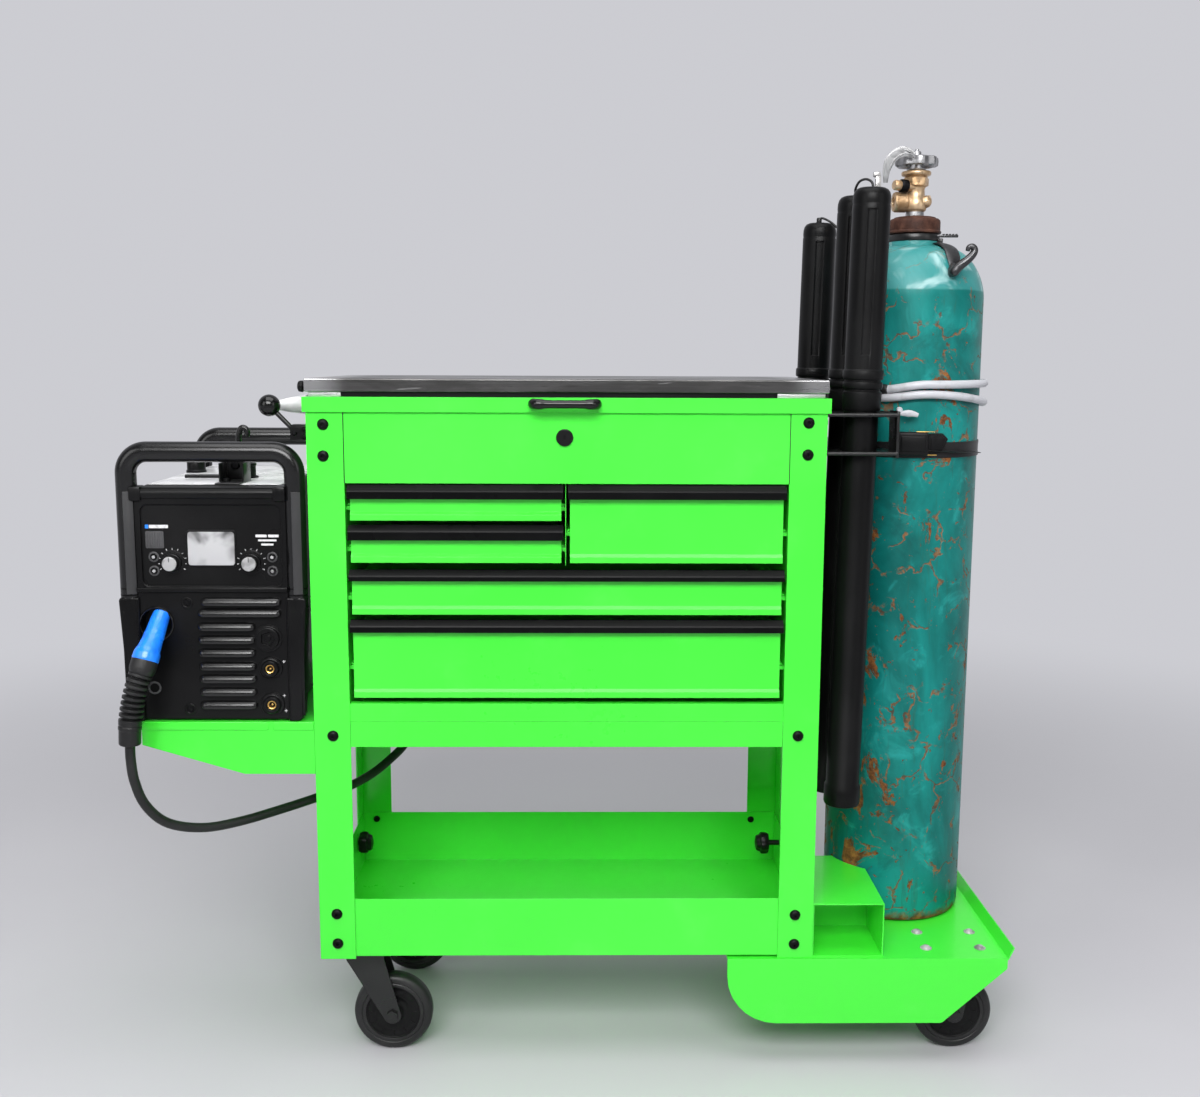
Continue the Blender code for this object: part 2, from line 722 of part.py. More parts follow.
def knuckle(index, bored):
    start = -HINGE_HALF + index * KNUCKLE + GAP
    end = -HINGE_HALF + (index + 1) * KNUCKLE - GAP
    made = rod(
        f"hinge_knuckle_{index}", (start, HINGE_Y, HINGE_Z), (end, HINGE_Y, HINGE_Z),
        HINGE_RADIUS, sides=12)
    if bored:
        cut(made, rod(
            f"hinge_bore_{index}", (start - 0.01, HINGE_Y, HINGE_Z),
            (end + 0.01, HINGE_Y, HINGE_Z), HINGE_PIN_RADIUS + GAP, sides=10))
    return made


join(back, rod(
    "hinge_pin", (-HINGE_HALF + 0.002, HINGE_Y, HINGE_Z), (HINGE_HALF - 0.002, HINGE_Y, HINGE_Z),
    HINGE_PIN_RADIUS, sides=10))
for index in range(0, HINGE_KNUCKLES, 2):
    join(back, knuckle(index, bored=False))

rail = prism(
    "front_rail",
    strip([(0.001, CASE_BOTTOM - GAP), (0.001, RAIL_BOTTOM), (RAIL_FLANGE, RAIL_BOTTOM)],
          RAIL_SHEET),
    "X", -(HALF - POST_FLANGE - GAP), HALF - POST_FLANGE - GAP, GREEN)
join(rail, block(
    "front_rail_ledge", (-(HALF - POST_FLANGE - GAP), 0.001, CASE_BOTTOM - GAP - RAIL_SHEET),
    (HALF - POST_FLANGE - GAP, RAIL_FLANGE, CASE_BOTTOM - GAP)))

# Lower tray, with the fixed plates of the swivelling casters under it

tray = block(
    "lower_tray", (-SKIN_X, CASE_FRONT, TRAY_BOTTOM), (SKIN_X, CASE_BACK, TRAY_TOP), GREEN)
cut(tray, block(
    "tray_inside", (-SKIN_X + TRAY_SHEET, CASE_FRONT + TRAY_SHEET, TRAY_BOTTOM + TRAY_SHEET),
    (SKIN_X - TRAY_SHEET, CASE_BACK - TRAY_SHEET, TRAY_TOP + 0.05)))
for y in (SWIVEL_FRONT_Y, SWIVEL_BACK_Y):
    join(tray, block(
        f"caster_plate_{round(y * 1000)}", (SWIVEL_X - 0.046, y - 0.050, TRAY_BOTTOM - PLATE_THICK),
        (SWIVEL_X + 0.046, y + 0.050, TRAY_BOTTOM + TRAY_SHEET / 2)))

# Lid, worktop, handle and lock

lid_axis = pivot("lid_axis", (0.0, HINGE_Y, HINGE_Z))
LID_X = LID_WIDTH / 2


def lid_outline(inset):
    left, right = -LID_X + inset, LID_X - inset
    front, rear = LID_FRONT + inset, LID_BACK - inset
    return [(left, front), (right, front), (right, rear), (left, rear)]


lid = block("lid_pan", (-LID_X, LID_FRONT, LID_BOTTOM), (LID_X, LID_BACK, LID_TOP), GREEN)
cut(lid, block(
    "lid_inside", (-LID_X + LID_SHEET, LID_FRONT + LID_SHEET, LID_BOTTOM + LID_SHEET),
    (LID_X - LID_SHEET, LID_BACK - LID_SHEET, LID_TOP - LID_SHEET)))
cut(lid, block(
    "lid_mouth", (-LID_X + LID_HEM, LID_FRONT + LID_HEM, LID_BOTTOM - 0.01),
    (LID_X - LID_HEM, LID_BACK - LID_HEM, LID_BOTTOM + 0.01)))
join(lid, prism(
    "lid_plinth", lid_outline(PLINTH_INSET), "Z", LID_TOP - LID_SHEET / 2, TOP_BOTTOM - GAP,
    holes=[lid_outline(PLINTH_INSET + PLINTH_WIDTH)]))
join(lid, block(
    "hinge_lid_leaf", (-HINGE_HALF, LID_BACK - LID_SHEET / 2, HINGE_Z + 0.001),
    (HINGE_HALF, HINGE_Y - 0.003, HINGE_Z + 0.019)))
for index in range(0, HINGE_KNUCKLES, 2):
    start = -HINGE_HALF + index * KNUCKLE - GAP
    end = -HINGE_HALF + (index + 1) * KNUCKLE + GAP
    cut(lid, rod(
        f"knuckle_room_{index}", (start, HINGE_Y, HINGE_Z), (end, HINGE_Y, HINGE_Z),
        HINGE_RADIUS + GAP, sides=12))
for index in range(1, HINGE_KNUCKLES, 2):
    join(lid, knuckle(index, bored=True))
    start = -HINGE_HALF + index * KNUCKLE - GAP
    end = -HINGE_HALF + (index + 1) * KNUCKLE + GAP
    cut(back, block(
        f"leaf_room_{index}", (start, HINGE_Y - 0.010, HINGE_Z - HINGE_RADIUS - 0.0006),
        (end, HINGE_Y - HINGE_PIN_RADIUS - 0.0005, HINGE_Z + 0.01)))
hang(lid, lid_axis)

worktop = soften(block(
    "worktop", (-LID_X + TOP_INSET, LID_FRONT + TOP_INSET, TOP_BOTTOM),
    (LID_X - TOP_INSET, LID_BACK - TOP_INSET, TOP_TOP), STEEL), 0.0016)
top_inside = lid_outline(TOP_INSET + TOP_SHEET)
top_mouth = lid_outline(TOP_INSET + TOP_RETURN)
cut(worktop,
    prism("worktop_inside", top_inside, "Z", TOP_BOTTOM + TOP_SHEET, TOP_TOP - TOP_SHEET),
    prism("worktop_mouth", top_mouth, "Z", TOP_BOTTOM - 0.01, TOP_BOTTOM + 2 * TOP_SHEET))
hang(worktop, lid_axis)

HANDLE_Z = (LID_BOTTOM + LID_TOP) / 2 + 0.002
handle_y = LID_FRONT - LID_HANDLE_REACH
lid_handle = tube(
    "lid_handle",
    rounded([
        (LID_HANDLE_LEFT, LID_FRONT - GAP, HANDLE_Z), (LID_HANDLE_LEFT, handle_y, HANDLE_Z),
        (LID_HANDLE_RIGHT, handle_y, HANDLE_Z), (LID_HANDLE_RIGHT, LID_FRONT - GAP, HANDLE_Z)],
        [0.0, 0.012, 0.012, 0.0], 5, closed=False),
    LID_HANDLE_RADIUS, BLACK, resolution=3)
hang(lid_handle, lid_axis)

lock_axis = pivot("lock_axis", (LOCK_X, 0.0, LOCK_Z))
lock = turned(
    "lid_lock",
    [(0.0, 0.032), (0.006, 0.032), (0.006, 0.026), (LOCK_RADIUS, 0.026),
     (LOCK_RADIUS, FASCIA_SET_BACK - GAP), (LOCK_FLANGE, FASCIA_SET_BACK - GAP),
     (LOCK_FLANGE, FASCIA_SET_BACK - 0.003), (LOCK_FLANGE - 0.001, FASCIA_SET_BACK - 0.004),
     (0.0, FASCIA_SET_BACK - 0.004)],
    (LOCK_X, 0.0, LOCK_Z), BLACK_METAL, axis="Y", steps=24)
join(lock, block(
    "lock_cam", (LOCK_X - 0.030, 0.0275, LOCK_Z - 0.007), (LOCK_X + 0.008, 0.0305, LOCK_Z + 0.007)))
cut(lock, block(
    "lock_keyway", (LOCK_X - 0.0011, -0.02, LOCK_Z - 0.004), (LOCK_X + 0.0011, 0.006, LOCK_Z + 0.004)))
hang(lock, lock_axis)

# Drawers and their pulls


def drawer(name):
    left, right, bottom, top, pull_bottom = DRAWERS[name]
    holder = pivot(f"{name}_slide", ((left + right) / 2, 0.0, (bottom + top) / 2))
    front_line = [
        (DRAWER_FRONT, top - 0.001), (DRAWER_FRONT, bottom + HEM_HEIGHT + 0.004),
        (DRAWER_FRONT - HEM_REACH, bottom + HEM_HEIGHT), (DRAWER_FRONT - HEM_REACH, bottom),
        (DRAWER_FRONT + 0.010, bottom)]
    made = prism(
        name, strip(front_line, DRAWER_SHEET), "X", left + FRONT_INSET, right - FRONT_INSET,
        GREEN)
    beside_left = -CASE_HALF if left < -0.1 else DIVIDER_X + SKIN / 2
    beside_right = CASE_HALF if right > 0.1 else DIVIDER_X - SKIN / 2
    box_left = beside_left + DRAWER_SIDE_GAP
    box_right = beside_right - DRAWER_SIDE_GAP
    box_bottom = bottom + BOX_RAISE
    box_top = top - BOX_DROP
    z = runner_top(name) + GAP
    box = block(
        f"{name}_box", (box_left, DRAWER_FRONT + DRAWER_SHEET / 2, box_bottom),
        (box_right, DRAWER_DEPTH, box_top))
    for edge, inner in ((beside_left + RUN, box_left), (beside_right - RUN, box_right)):
        ends = sorted((edge, inner + (0.0005 if edge < inner else -0.0005)))
        join(box, block(
            f"{name}_slide_{round(edge * 1000)}", (ends[0], 0.020, z),
            (ends[1], DRAWER_DEPTH, z + SLIDE_HEIGHT)))
    cut(box, block(
        f"{name}_inside",
        (box_left + DRAWER_SHEET, DRAWER_FRONT + 2 * DRAWER_SHEET, box_bottom + DRAWER_SHEET),
        (box_right - DRAWER_SHEET, DRAWER_DEPTH - DRAWER_SHEET, box_top + 0.05)))
    join(made, box)
    hang(made, holder)
    face = DRAWER_FRONT - GAP
    hook_line = [
        (face, pull_bottom + 0.004), (face, top - 0.0004), (face - 0.003, top - 0.0004),
        (face - PULL_REACH + 0.002, top - 0.0075), (face - PULL_REACH, top - 0.0110),
        (face - PULL_REACH, pull_bottom)]
    pull = prism(
        name.replace("drawer", "pull"), strip(hook_line, PULL_SHEET), "X", left, right, BLACK)
    hang(pull, holder)


for name in DRAWERS:
    drawer(name)

# Casters


def wheel(name, x, y, holder=None):
    rim = WHEEL_RADIUS
    bore = AXLE_RADIUS + GAP
    half = WHEEL_HALF
    upper = [
        (bore, half), (0.015, half), (0.017, half - 0.005), (0.043, half - 0.006),
        (0.047, half - 0.001), (rim - 0.005, half - 0.002), (rim, half - 0.009)]
    profile = upper + [(r, -h) for r, h in reversed(upper)]
    made = turned(name, profile, (x, y, WHEEL_RADIUS), RUBBER, axis="Y",
                  steps=WHEEL_STEPS)
    axis = pivot(f"{name}_axis", (x, y, WHEEL_RADIUS))
    if holder:
        axis.parent = holder
        axis.location = Vector(axis.location) - Vector(holder.location)
    made.parent = axis
    made.location = (0.0, 0.0, 0.0)


def fork(name, x, y, top, axle_x, crown_reach):
    """Two cheeks from a crown down to the axle, cut from sheet."""
    cheek = [
        (x - 0.030, top - 0.006), (x - 0.030, top - 0.020), (axle_x - 0.014, WHEEL_RADIUS - 0.004)]
    cheek += [
        (axle_x + 0.0145 * cos(a), WHEEL_RADIUS + 0.0145 * sin(a))
        for a in (radians(205 + 26 * k) for k in range(7))]
    cheek += [(x + 0.030, top - 0.020), (x + 0.030, top - 0.006)]
    made = block(
        name, (x - crown_reach[0], y - crown_reach[1], top - 0.009),
        (x + crown_reach[0], y + crown_reach[1], top - 0.004), BLACK_METAL)
    join(made, rod(f"{name}_race", (x, y, top - 0.0065), (x, y, top), 0.027, sides=20))
    for side in (-1, 1):
        ends = sorted((y + side * FORK_HALF, y + side * (FORK_HALF + FORK_SHEET)))
        join(made, prism(f"{name}_cheek_{side}", cheek, "Y", ends[0], ends[1]))
    join(made, rod(
        f"{name}_axle", (axle_x, y - FORK_HALF - 0.008, WHEEL_RADIUS),
        (axle_x, y + FORK_HALF + 0.008, WHEEL_RADIUS), AXLE_RADIUS, sides=16))
    for side in (-1, 1):
        join(made, rod(
            f"{name}_nut_{side}", (axle_x, y + side * (FORK_HALF + FORK_SHEET / 2), WHEEL_RADIUS),
            (axle_x, y + side * (FORK_HALF + 0.0075), WHEEL_RADIUS), 0.0095, sides=6))
    return made


SWIVEL_TOP = TRAY_BOTTOM - PLATE_THICK - GAP
for name, y in (("front", SWIVEL_FRONT_Y), ("rear", SWIVEL_BACK_Y)):
    made = fork(
        f"swivel_fork_{name}", SWIVEL_X, y, SWIVEL_TOP, SWIVEL_X + TRAIL, (0.033, 0.0228))
    axis = pivot(f"swivel_axis_{name}", (SWIVEL_X, y, SWIVEL_TOP))
    hang(made, axis)
    wheel(f"swivel_wheel_{name}", SWIVEL_X + TRAIL, y, axis)

PLATFORM_TOP = POST_BOTTOM - GAP
RIGID_TOP = PLATFORM_TOP - PLATFORM_SHEET - GAP
for name, y in (("front", RIGID_FRONT_Y), ("rear", RIGID_BACK_Y)):
    made = fork(f"rigid_fork_{name}", RIGID_X, y, RIGID_TOP, RIGID_X, (0.050, 0.040))
    join(made, block(
        f"rigid_plate_{name}", (RIGID_X - 0.050, y - 0.040, RIGID_TOP - 0.005),
        (RIGID_X + 0.050, y + 0.040, RIGID_TOP)))
    wheel(f"rigid_wheel_{name}", RIGID_X, y)

# Bottle platform and the pocket on it

platform = prism(
    "bottle_platform",
    strip([(PLATFORM_LEFT, PLATFORM_TOP), (PLATFORM_RIGHT, PLATFORM_TOP),
           (PLATFORM_LIP_X, PLATFORM_LIP_Z)], -PLATFORM_SHEET),
    "Y", PLATFORM_FRONT, PLATFORM_BACK, GREEN)
skirt_line = rounded(
    [(PLATFORM_LEFT, PLATFORM_TOP - PLATFORM_SHEET / 2), (PLATFORM_LEFT, SKIRT_BOTTOM),
     (SKIRT_SLOPE_X, SKIRT_BOTTOM), (PLATFORM_RIGHT, SKIRT_SLOPE_Z),
     (PLATFORM_RIGHT, PLATFORM_TOP - PLATFORM_SHEET / 2)],
    [0.0, SKIRT_CORNER, 0.010, 0.004, 0.0], 7)
for name, start, end in (
        ("front_skirt", PLATFORM_FRONT, PLATFORM_FRONT + PLATFORM_SHEET),
        ("rear_skirt", PLATFORM_BACK - PLATFORM_SHEET, PLATFORM_BACK)):
    join(platform, prism(name, skirt_line, "Y", start, end))

pocket = block(
    "bottle_box", (BOX_LEFT, BOX_FRONT, PLATFORM_TOP - 0.001), (BOX_RIGHT, BOX_BACK, BOX_TOP))
cut(pocket, block(
    "pocket_inside", (BOX_LEFT + BOX_SHEET, BOX_FRONT - 0.01, PLATFORM_TOP + BOX_SHEET),
    (BOX_RIGHT - BOX_SHEET, BOX_BACK - BOX_SHEET, BOX_TOP - BOX_SHEET)))
join(pocket, block(
    "pocket_shelf", (BOX_LEFT, BOX_BACK - 0.010, BOX_TOP - BOX_SHEET),
    (BOX_RIGHT, BOX_SHELF_BACK, BOX_TOP)))
cut(pocket, rod(
    "pocket_saddle", (CYLINDER_X, CYLINDER_Y, BOX_TOP - 0.05), (CYLINDER_X, CYLINDER_Y, BOX_TOP + 0.05),
    CYLINDER_RADIUS + SADDLE_CLEAR, sides=40))
join(platform, pocket)

# Gas cylinder, hollow and open at the neck

CYLINDER_FOOT = PLATFORM_TOP + GAP


def dome(radius, base, top, neck, steps):
    """The shoulder of the cylinder, from its neck down to its side."""
    out = []
    for k in range(steps + 1):
        a = pi / 2 * (1 - k / steps)
        out.append((neck + (radius - neck) * cos(a) ** 0.8, base + (top - base) * sin(a) ** 1.15))
    return out


outer = [(NECK_BORE, COLLAR_TOP), (COLLAR_RADIUS, COLLAR_TOP), (COLLAR_RADIUS, COLLAR_BOTTOM),
         (NECK_RADIUS, COLLAR_BOTTOM)]
outer += dome(CYLINDER_RADIUS, SHOULDER_Z, NECK_Z, NECK_RADIUS, 6)
outer += [(CYLINDER_RADIUS, CYLINDER_FOOT + 0.012), (CYLINDER_RADIUS - 0.006, CYLINDER_FOOT),
          (0.060, CYLINDER_FOOT), (0.050, CYLINDER_FOOT + 0.012), (0.0, CYLINDER_FOOT + 0.016)]
inside = [(0.0, CYLINDER_FOOT + 0.024),
          (CYLINDER_RADIUS - CYLINDER_WALL - 0.010, CYLINDER_FOOT + 0.022),
          (CYLINDER_RADIUS - CYLINDER_WALL, CYLINDER_FOOT + 0.034)]
inside += dome(
    CYLINDER_RADIUS - CYLINDER_WALL, SHOULDER_Z - 0.004, NECK_Z - 0.010, NECK_BORE + 0.004, 3)[::-1]
inside += [(NECK_BORE, NECK_Z)]


def hollow_turned(name, outside, cavity, at, material, steps):
    """A turned shell whose bore opens at the top; both profiles end on the axis."""
    made = turned(name, [(0.0, outside[0][1])] + outside[1:], at, material, steps=steps)
    top = outside[0][1] + 0.01
    hollow = turned(
        f"{name}_hollow", [(0.0, top), (outside[0][0], top)] + cavity[::-1], at, steps=steps // 2)
    return cut(made, hollow)


hollow_turned("gas_cylinder", outer, inside, (CYLINDER_X, CYLINDER_Y, 0.0), TEAL, 40)

valve = turned(
    "cylinder_valve",
    [(0.0, VALVE_TALL), (0.0075, VALVE_TALL), (0.0085, 0.062), (0.013, 0.060), (0.013, 0.049),
     (0.0105, 0.046), (0.0105, 0.033), (0.0155, 0.027), (0.0165, 0.015), (0.0115, 0.011),
     (0.0115, GAP), (0.0, GAP)],
    (CYLINDER_X, CYLINDER_Y, COLLAR_TOP), BRASS, steps=18)
join(valve, rod(
    "valve_outlet", (CYLINDER_X - 0.004, CYLINDER_Y, COLLAR_TOP + 0.0315),
    (CYLINDER_X - 0.036, CYLINDER_Y, COLLAR_TOP + 0.0315), 0.0105, sides=14))
join(valve, rod(
    "valve_relief", (CYLINDER_X + 0.004, CYLINDER_Y, COLLAR_TOP + 0.0230),
    (CYLINDER_X + 0.024, CYLINDER_Y, COLLAR_TOP + 0.0230), 0.0075, sides=6))

handwheel_axis = pivot("handwheel_axis", (CYLINDER_X, CYLINDER_Y, HANDWHEEL_Z))
LOBES = 8
scalloped = [
    ((HANDWHEEL_RADIUS - 0.0018 * (1 - cos(LOBES * a))) * cos(a) + CYLINDER_X,
     (HANDWHEEL_RADIUS - 0.0018 * (1 - cos(LOBES * a))) * sin(a) + CYLINDER_Y)
    for a in (2 * pi * k / 48 for k in range(48))]
windows = [
    ring(0.0078, 10, (CYLINDER_X + 0.0205 * cos(a), CYLINDER_Y + 0.0205 * sin(a)))
    for a in (2 * pi * k / 5 for k in range(5))]
handwheel = prism(
    "valve_handwheel", scalloped, "Z", HANDWHEEL_Z - HANDWHEEL_THICK / 2,
    HANDWHEEL_Z + HANDWHEEL_THICK / 2, STEEL, holes=windows)
join(handwheel, rod(
    "handwheel_hub", (CYLINDER_X, CYLINDER_Y, COLLAR_TOP + VALVE_TALL + GAP),
    (CYLINDER_X, CYLINDER_Y, HANDWHEEL_Z + 0.0205), 0.0095, sides=16, end_radius=0.0075))
hang(handwheel, handwheel_axis)

# Strap and cable that hold the cylinder

STRAP_IN = CYLINDER_RADIUS + GAP
strap = prism(
    "cylinder_strap", ring(STRAP_IN + STRAP_THICK, 48, (CYLINDER_X, CYLINDER_Y)), "Z",
    STRAP_Z - STRAP_WIDTH / 2, STRAP_Z + STRAP_WIDTH / 2, BLACK,
    holes=[ring(STRAP_IN / cos(pi / 48), 48, (CYLINDER_X, CYLINDER_Y))])
for index, angle, length, depth in ((0, 251.0, 0.044, 0.014), (1, 276.0, 0.032, 0.009)):
    a = radians(angle)
    buckle = block(
        f"strap_buckle_{index}", (0.0006, -length / 2, -0.0145), (depth, length / 2, 0.0145))
    buckle.matrix_basis = (
        Matrix.Translation((CYLINDER_X + (STRAP_IN + 0.0002) * cos(a),
                            CYLINDER_Y + (STRAP_IN + 0.0002) * sin(a), STRAP_Z + 0.002))
        @ Matrix.Rotation(a, 4, "Z"))
    join(strap, buckle)
cut(strap, rod(
    "strap_clear", (CYLINDER_X, CYLINDER_Y, STRAP_Z - 0.05), (CYLINDER_X, CYLINDER_Y, STRAP_Z + 0.05),
    STRAP_IN / cos(pi / 48), sides=48))

CABLE_POINTS = 24
CABLE_REACH = (CYLINDER_RADIUS + GAP + CABLE_RADIUS) / cos(pi / CABLE_POINTS)
helix = []
for k in range(CABLE_TURNS * CABLE_POINTS + 1):
    turn = k / CABLE_POINTS
    a = CABLE_START + 2 * pi * turn
    part_way = CABLE_SPREAD[min(int(turn), CABLE_TURNS - 1)] * sin(pi * turn) ** 2
    helix.append((
        CYLINDER_X + CABLE_REACH * cos(a), CYLINDER_Y + CABLE_REACH * sin(a),
        CABLE_TOP_Z - CABLE_PITCH * turn + part_way))
wound = tube("wound_cable", helix, CABLE_RADIUS, GREY, resolution=1)
ferrule = block("cable_ferrule", (-0.0066, -0.011, -0.0300), (0.0100, 0.011, 0.0120))
ferrule.matrix_basis = (
    Matrix.Translation((CYLINDER_X + CABLE_REACH * cos(CABLE_START),
                        CYLINDER_Y + CABLE_REACH * sin(CABLE_START), CABLE_TOP_Z - 0.004))
    @ Matrix.Rotation(CABLE_START, 4, "Z"))
join(wound, ferrule)

# Rod canisters and the rack that holds them


def canister(name):
    x, y, top_change = CANISTERS[name]
    top = CANISTER_TOP + top_change
    profile = [
        (0.0, top), (0.018, top), (0.0255, top - 0.004), (CANISTER_RADIUS, top - 0.012),
        (CANISTER_RADIUS, SLEEVE_Z + 0.010), (CANISTER_RADIUS + 0.002, SLEEVE_Z + 0.008),
        (CANISTER_RADIUS + 0.002, SLEEVE_Z - 0.004), (CANISTER_TUBE, SLEEVE_Z - 0.006),
        (CANISTER_TUBE, CANISTER_BOTTOM + 0.034), (CANISTER_RADIUS, CANISTER_BOTTOM + 0.032),
        (CANISTER_RADIUS, CANISTER_BOTTOM + 0.006), (CANISTER_RADIUS - 0.004, CANISTER_BOTTOM),
        (0.0, CANISTER_BOTTOM)]
    made = turned(
        name, [(r, h - CANISTER_PIVOT_Z) for r, h in profile], (x, y, CANISTER_PIVOT_Z), BLACK,
        steps=20)
    made.rotation_euler = (0.0, CANISTER_LEAN, 0.0)


for name in CANISTERS:
    canister(name)

bracket_x = HALF + GAP
RACK_STEPS = 24
rack_hole = (CANISTER_TUBE + RACK_FIT) / cos(pi / RACK_STEPS)
rack = block(
    "rod_rack", (SKIN_X + GAP, BRACKET_FRONT, BRACKET_BOTTOM),
    (bracket_x + BRACKET_THICK, BRACKET_BACK, BRACKET_TOP), BLACK_METAL)
for z in RACK_PLATES:
    outline = [
        (bracket_x + 0.001, RACK_FRONT), (RACK_RIGHT, RACK_FRONT), (RACK_RIGHT, RACK_BACK),
        (bracket_x + 0.001, RACK_BACK)]
    lean = (z - CANISTER_PIVOT_Z) * sin(CANISTER_LEAN)
    plate = prism(
        f"rack_plate_{round(z * 1000)}", outline, "Z", z - RACK_SHEET / 2, z + RACK_SHEET / 2,
        holes=[ring(rack_hole, RACK_STEPS, (x + lean, y)) for x, y, _ in CANISTERS.values()])
    join(rack, plate)
join(rack, block(
    "rack_end", (RACK_RIGHT - 0.003, RACK_FRONT, RACK_PLATES[0] - 0.006),
    (RACK_RIGHT, RACK_FRONT + 0.050, RACK_PLATES[1] + 0.006)))
cut(rack, rod(
    "rack_saddle", (CYLINDER_X, CYLINDER_Y, 0.9), (CYLINDER_X, CYLINDER_Y, 1.1),
    CYLINDER_RADIUS + SADDLE_CLEAR, sides=40))

# Welder shelf

SHELF_RIGHT = -HALF - GAP
shelf = block(
    "welder_shelf", (SHELF_LEFT, 0.0, SHELF_TOP - SHELF_SHEET), (SHELF_RIGHT, SHELF_BACK, SHELF_TOP),
    GREEN)
skirt = [
    (SHELF_LEFT, SHELF_TOP - SHELF_SHEET / 2), (SHELF_LEFT, SHELF_TOP - SHELF_FLANGE),
    (SHELF_LEFT, SHELF_TOP - 0.0365), (SHELF_RIGHT - 0.1082, SHELF_FOOT), (SHELF_RIGHT, SHELF_FOOT),
    (SHELF_RIGHT, SHELF_TOP - SHELF_SHEET / 2)]
for name, start in (("shelf_front", 0.0), ("shelf_back", SHELF_BACK - SHELF_SHEET)):
    join(shelf, prism(name, skirt, "Y", start, start + SHELF_SHEET))
join(shelf, block(
    "shelf_root", (SHELF_RIGHT - SHELF_SHEET, 0.0, SHELF_FOOT),
    (SHELF_RIGHT, SHELF_BACK, SHELF_TOP - SHELF_SHEET / 2)))

# Welder

CASE_LEFT = WELDER_LEFT + CASE_SIDE_INSET
CASE_RIGHT = WELDER_RIGHT - CASE_SIDE_INSET
case = soften(block(
    "welder_body", (CASE_LEFT, WELDER_CASE_FRONT - 0.020, WELDER_BASE),
    (CASE_RIGHT, WELDER_CASE_BACK, WELDER_TOP), BLACK_METAL), 0.004)
cut(case, block(
    "welder_open_front", (CASE_LEFT - 0.01, WELDER_CASE_FRONT - 0.03, WELDER_BASE - 0.01),
    (CASE_RIGHT + 0.01, WELDER_CASE_FRONT, WELDER_TOP + 0.01)))
cut(case, block(
    "welder_inside",
    (CASE_LEFT + CASE_SHEET, WELDER_CASE_FRONT - 0.01, WELDER_BASE + CASE_SHEET),
    (CASE_RIGHT - CASE_SHEET, WELDER_CASE_BACK - CASE_SHEET, WELDER_TOP - CASE_SHEET)))
join(case, block(
    "transformer", (CASE_LEFT + 0.040, 0.140, WELDER_BASE + CASE_SHEET / 2),
    (CASE_RIGHT - 0.040, 0.280, WELDER_BASE + 0.110)))

front = block(
    "welder_front", (CASE_LEFT - 0.004, FACE_Y, WELDER_BASE),
    (CASE_RIGHT + 0.004, WELDER_CASE_FRONT - GAP, WELDER_TOP), DARK)
cut(front, block(
    "panel_recess", (CASE_LEFT + 0.004, FACE_Y - 0.01, PANEL_BOTTOM),
    (CASE_RIGHT - 0.004, FACE_Y + PANEL_RECESS, PANEL_TOP)))
join(front, block(
    "display", (DISPLAY_LEFT, FACE_Y + 0.001, DISPLAY_BOTTOM),
    (DISPLAY_RIGHT, FACE_Y + PANEL_RECESS + 0.001, DISPLAY_TOP)))
for k in range(LOUVRES):
    z = LOUVRE_TOP - k * LOUVRE_PITCH
    right = LOUVRE_RIGHT + 0.046 if k < 2 else LOUVRE_RIGHT
    slot = prism(
        f"louvre_{k}",
        [(FACE_Y - 0.006, z - LOUVRE_SLOT), (FACE_Y + 0.010, z - LOUVRE_SLOT + 0.003),
         (FACE_Y + 0.010, z), (FACE_Y - 0.006, z - 0.001)],
        "X", LOUVRE_LEFT, right)
    cut(front, slot)
SOCKETS = ((WELDER_LEFT + 0.2252, 0.6470), (WELDER_LEFT + 0.2264, 0.5907))
CAP_X = WELDER_LEFT + 0.2237
cut(front, rod("plug_recess", (PLUG_X, -0.01, PLUG_Z), (PLUG_X, FACE_Y + 0.012, PLUG_Z), 0.0205,
               sides=24))
for index, (x, z) in enumerate(SOCKETS):
    join(front, rod(f"socket_{index}", (x, FACE_Y + 0.002, z), (x, FACE_Y - 0.012, z), 0.0135, sides=18))
    cut(front, rod(f"socket_bore_{index}", (x, FACE_Y - 0.02, z), (x, FACE_Y + 0.006, z), 0.0068,
                   sides=12))
join(front, rod("socket_cap", (CAP_X, FACE_Y + 0.002, 0.6921), (CAP_X, FACE_Y - 0.009, 0.6921),
                0.0185, sides=20))
for index, x in enumerate(KNOB_X):
    cut(front, rod(f"knob_bore_{index}", (x, FACE_Y - 0.01, KNOB_Z), (x, FACE_Y + 0.020, KNOB_Z),
                   0.0036, sides=12))
for name, (x, z) in BUTTONS.items():
    cut(front, rod(f"{name}_bore", (x, FACE_Y - 0.01, z), (x, FACE_Y + 0.014, z),
                   BUTTON_RADIUS + GAP, sides=14))

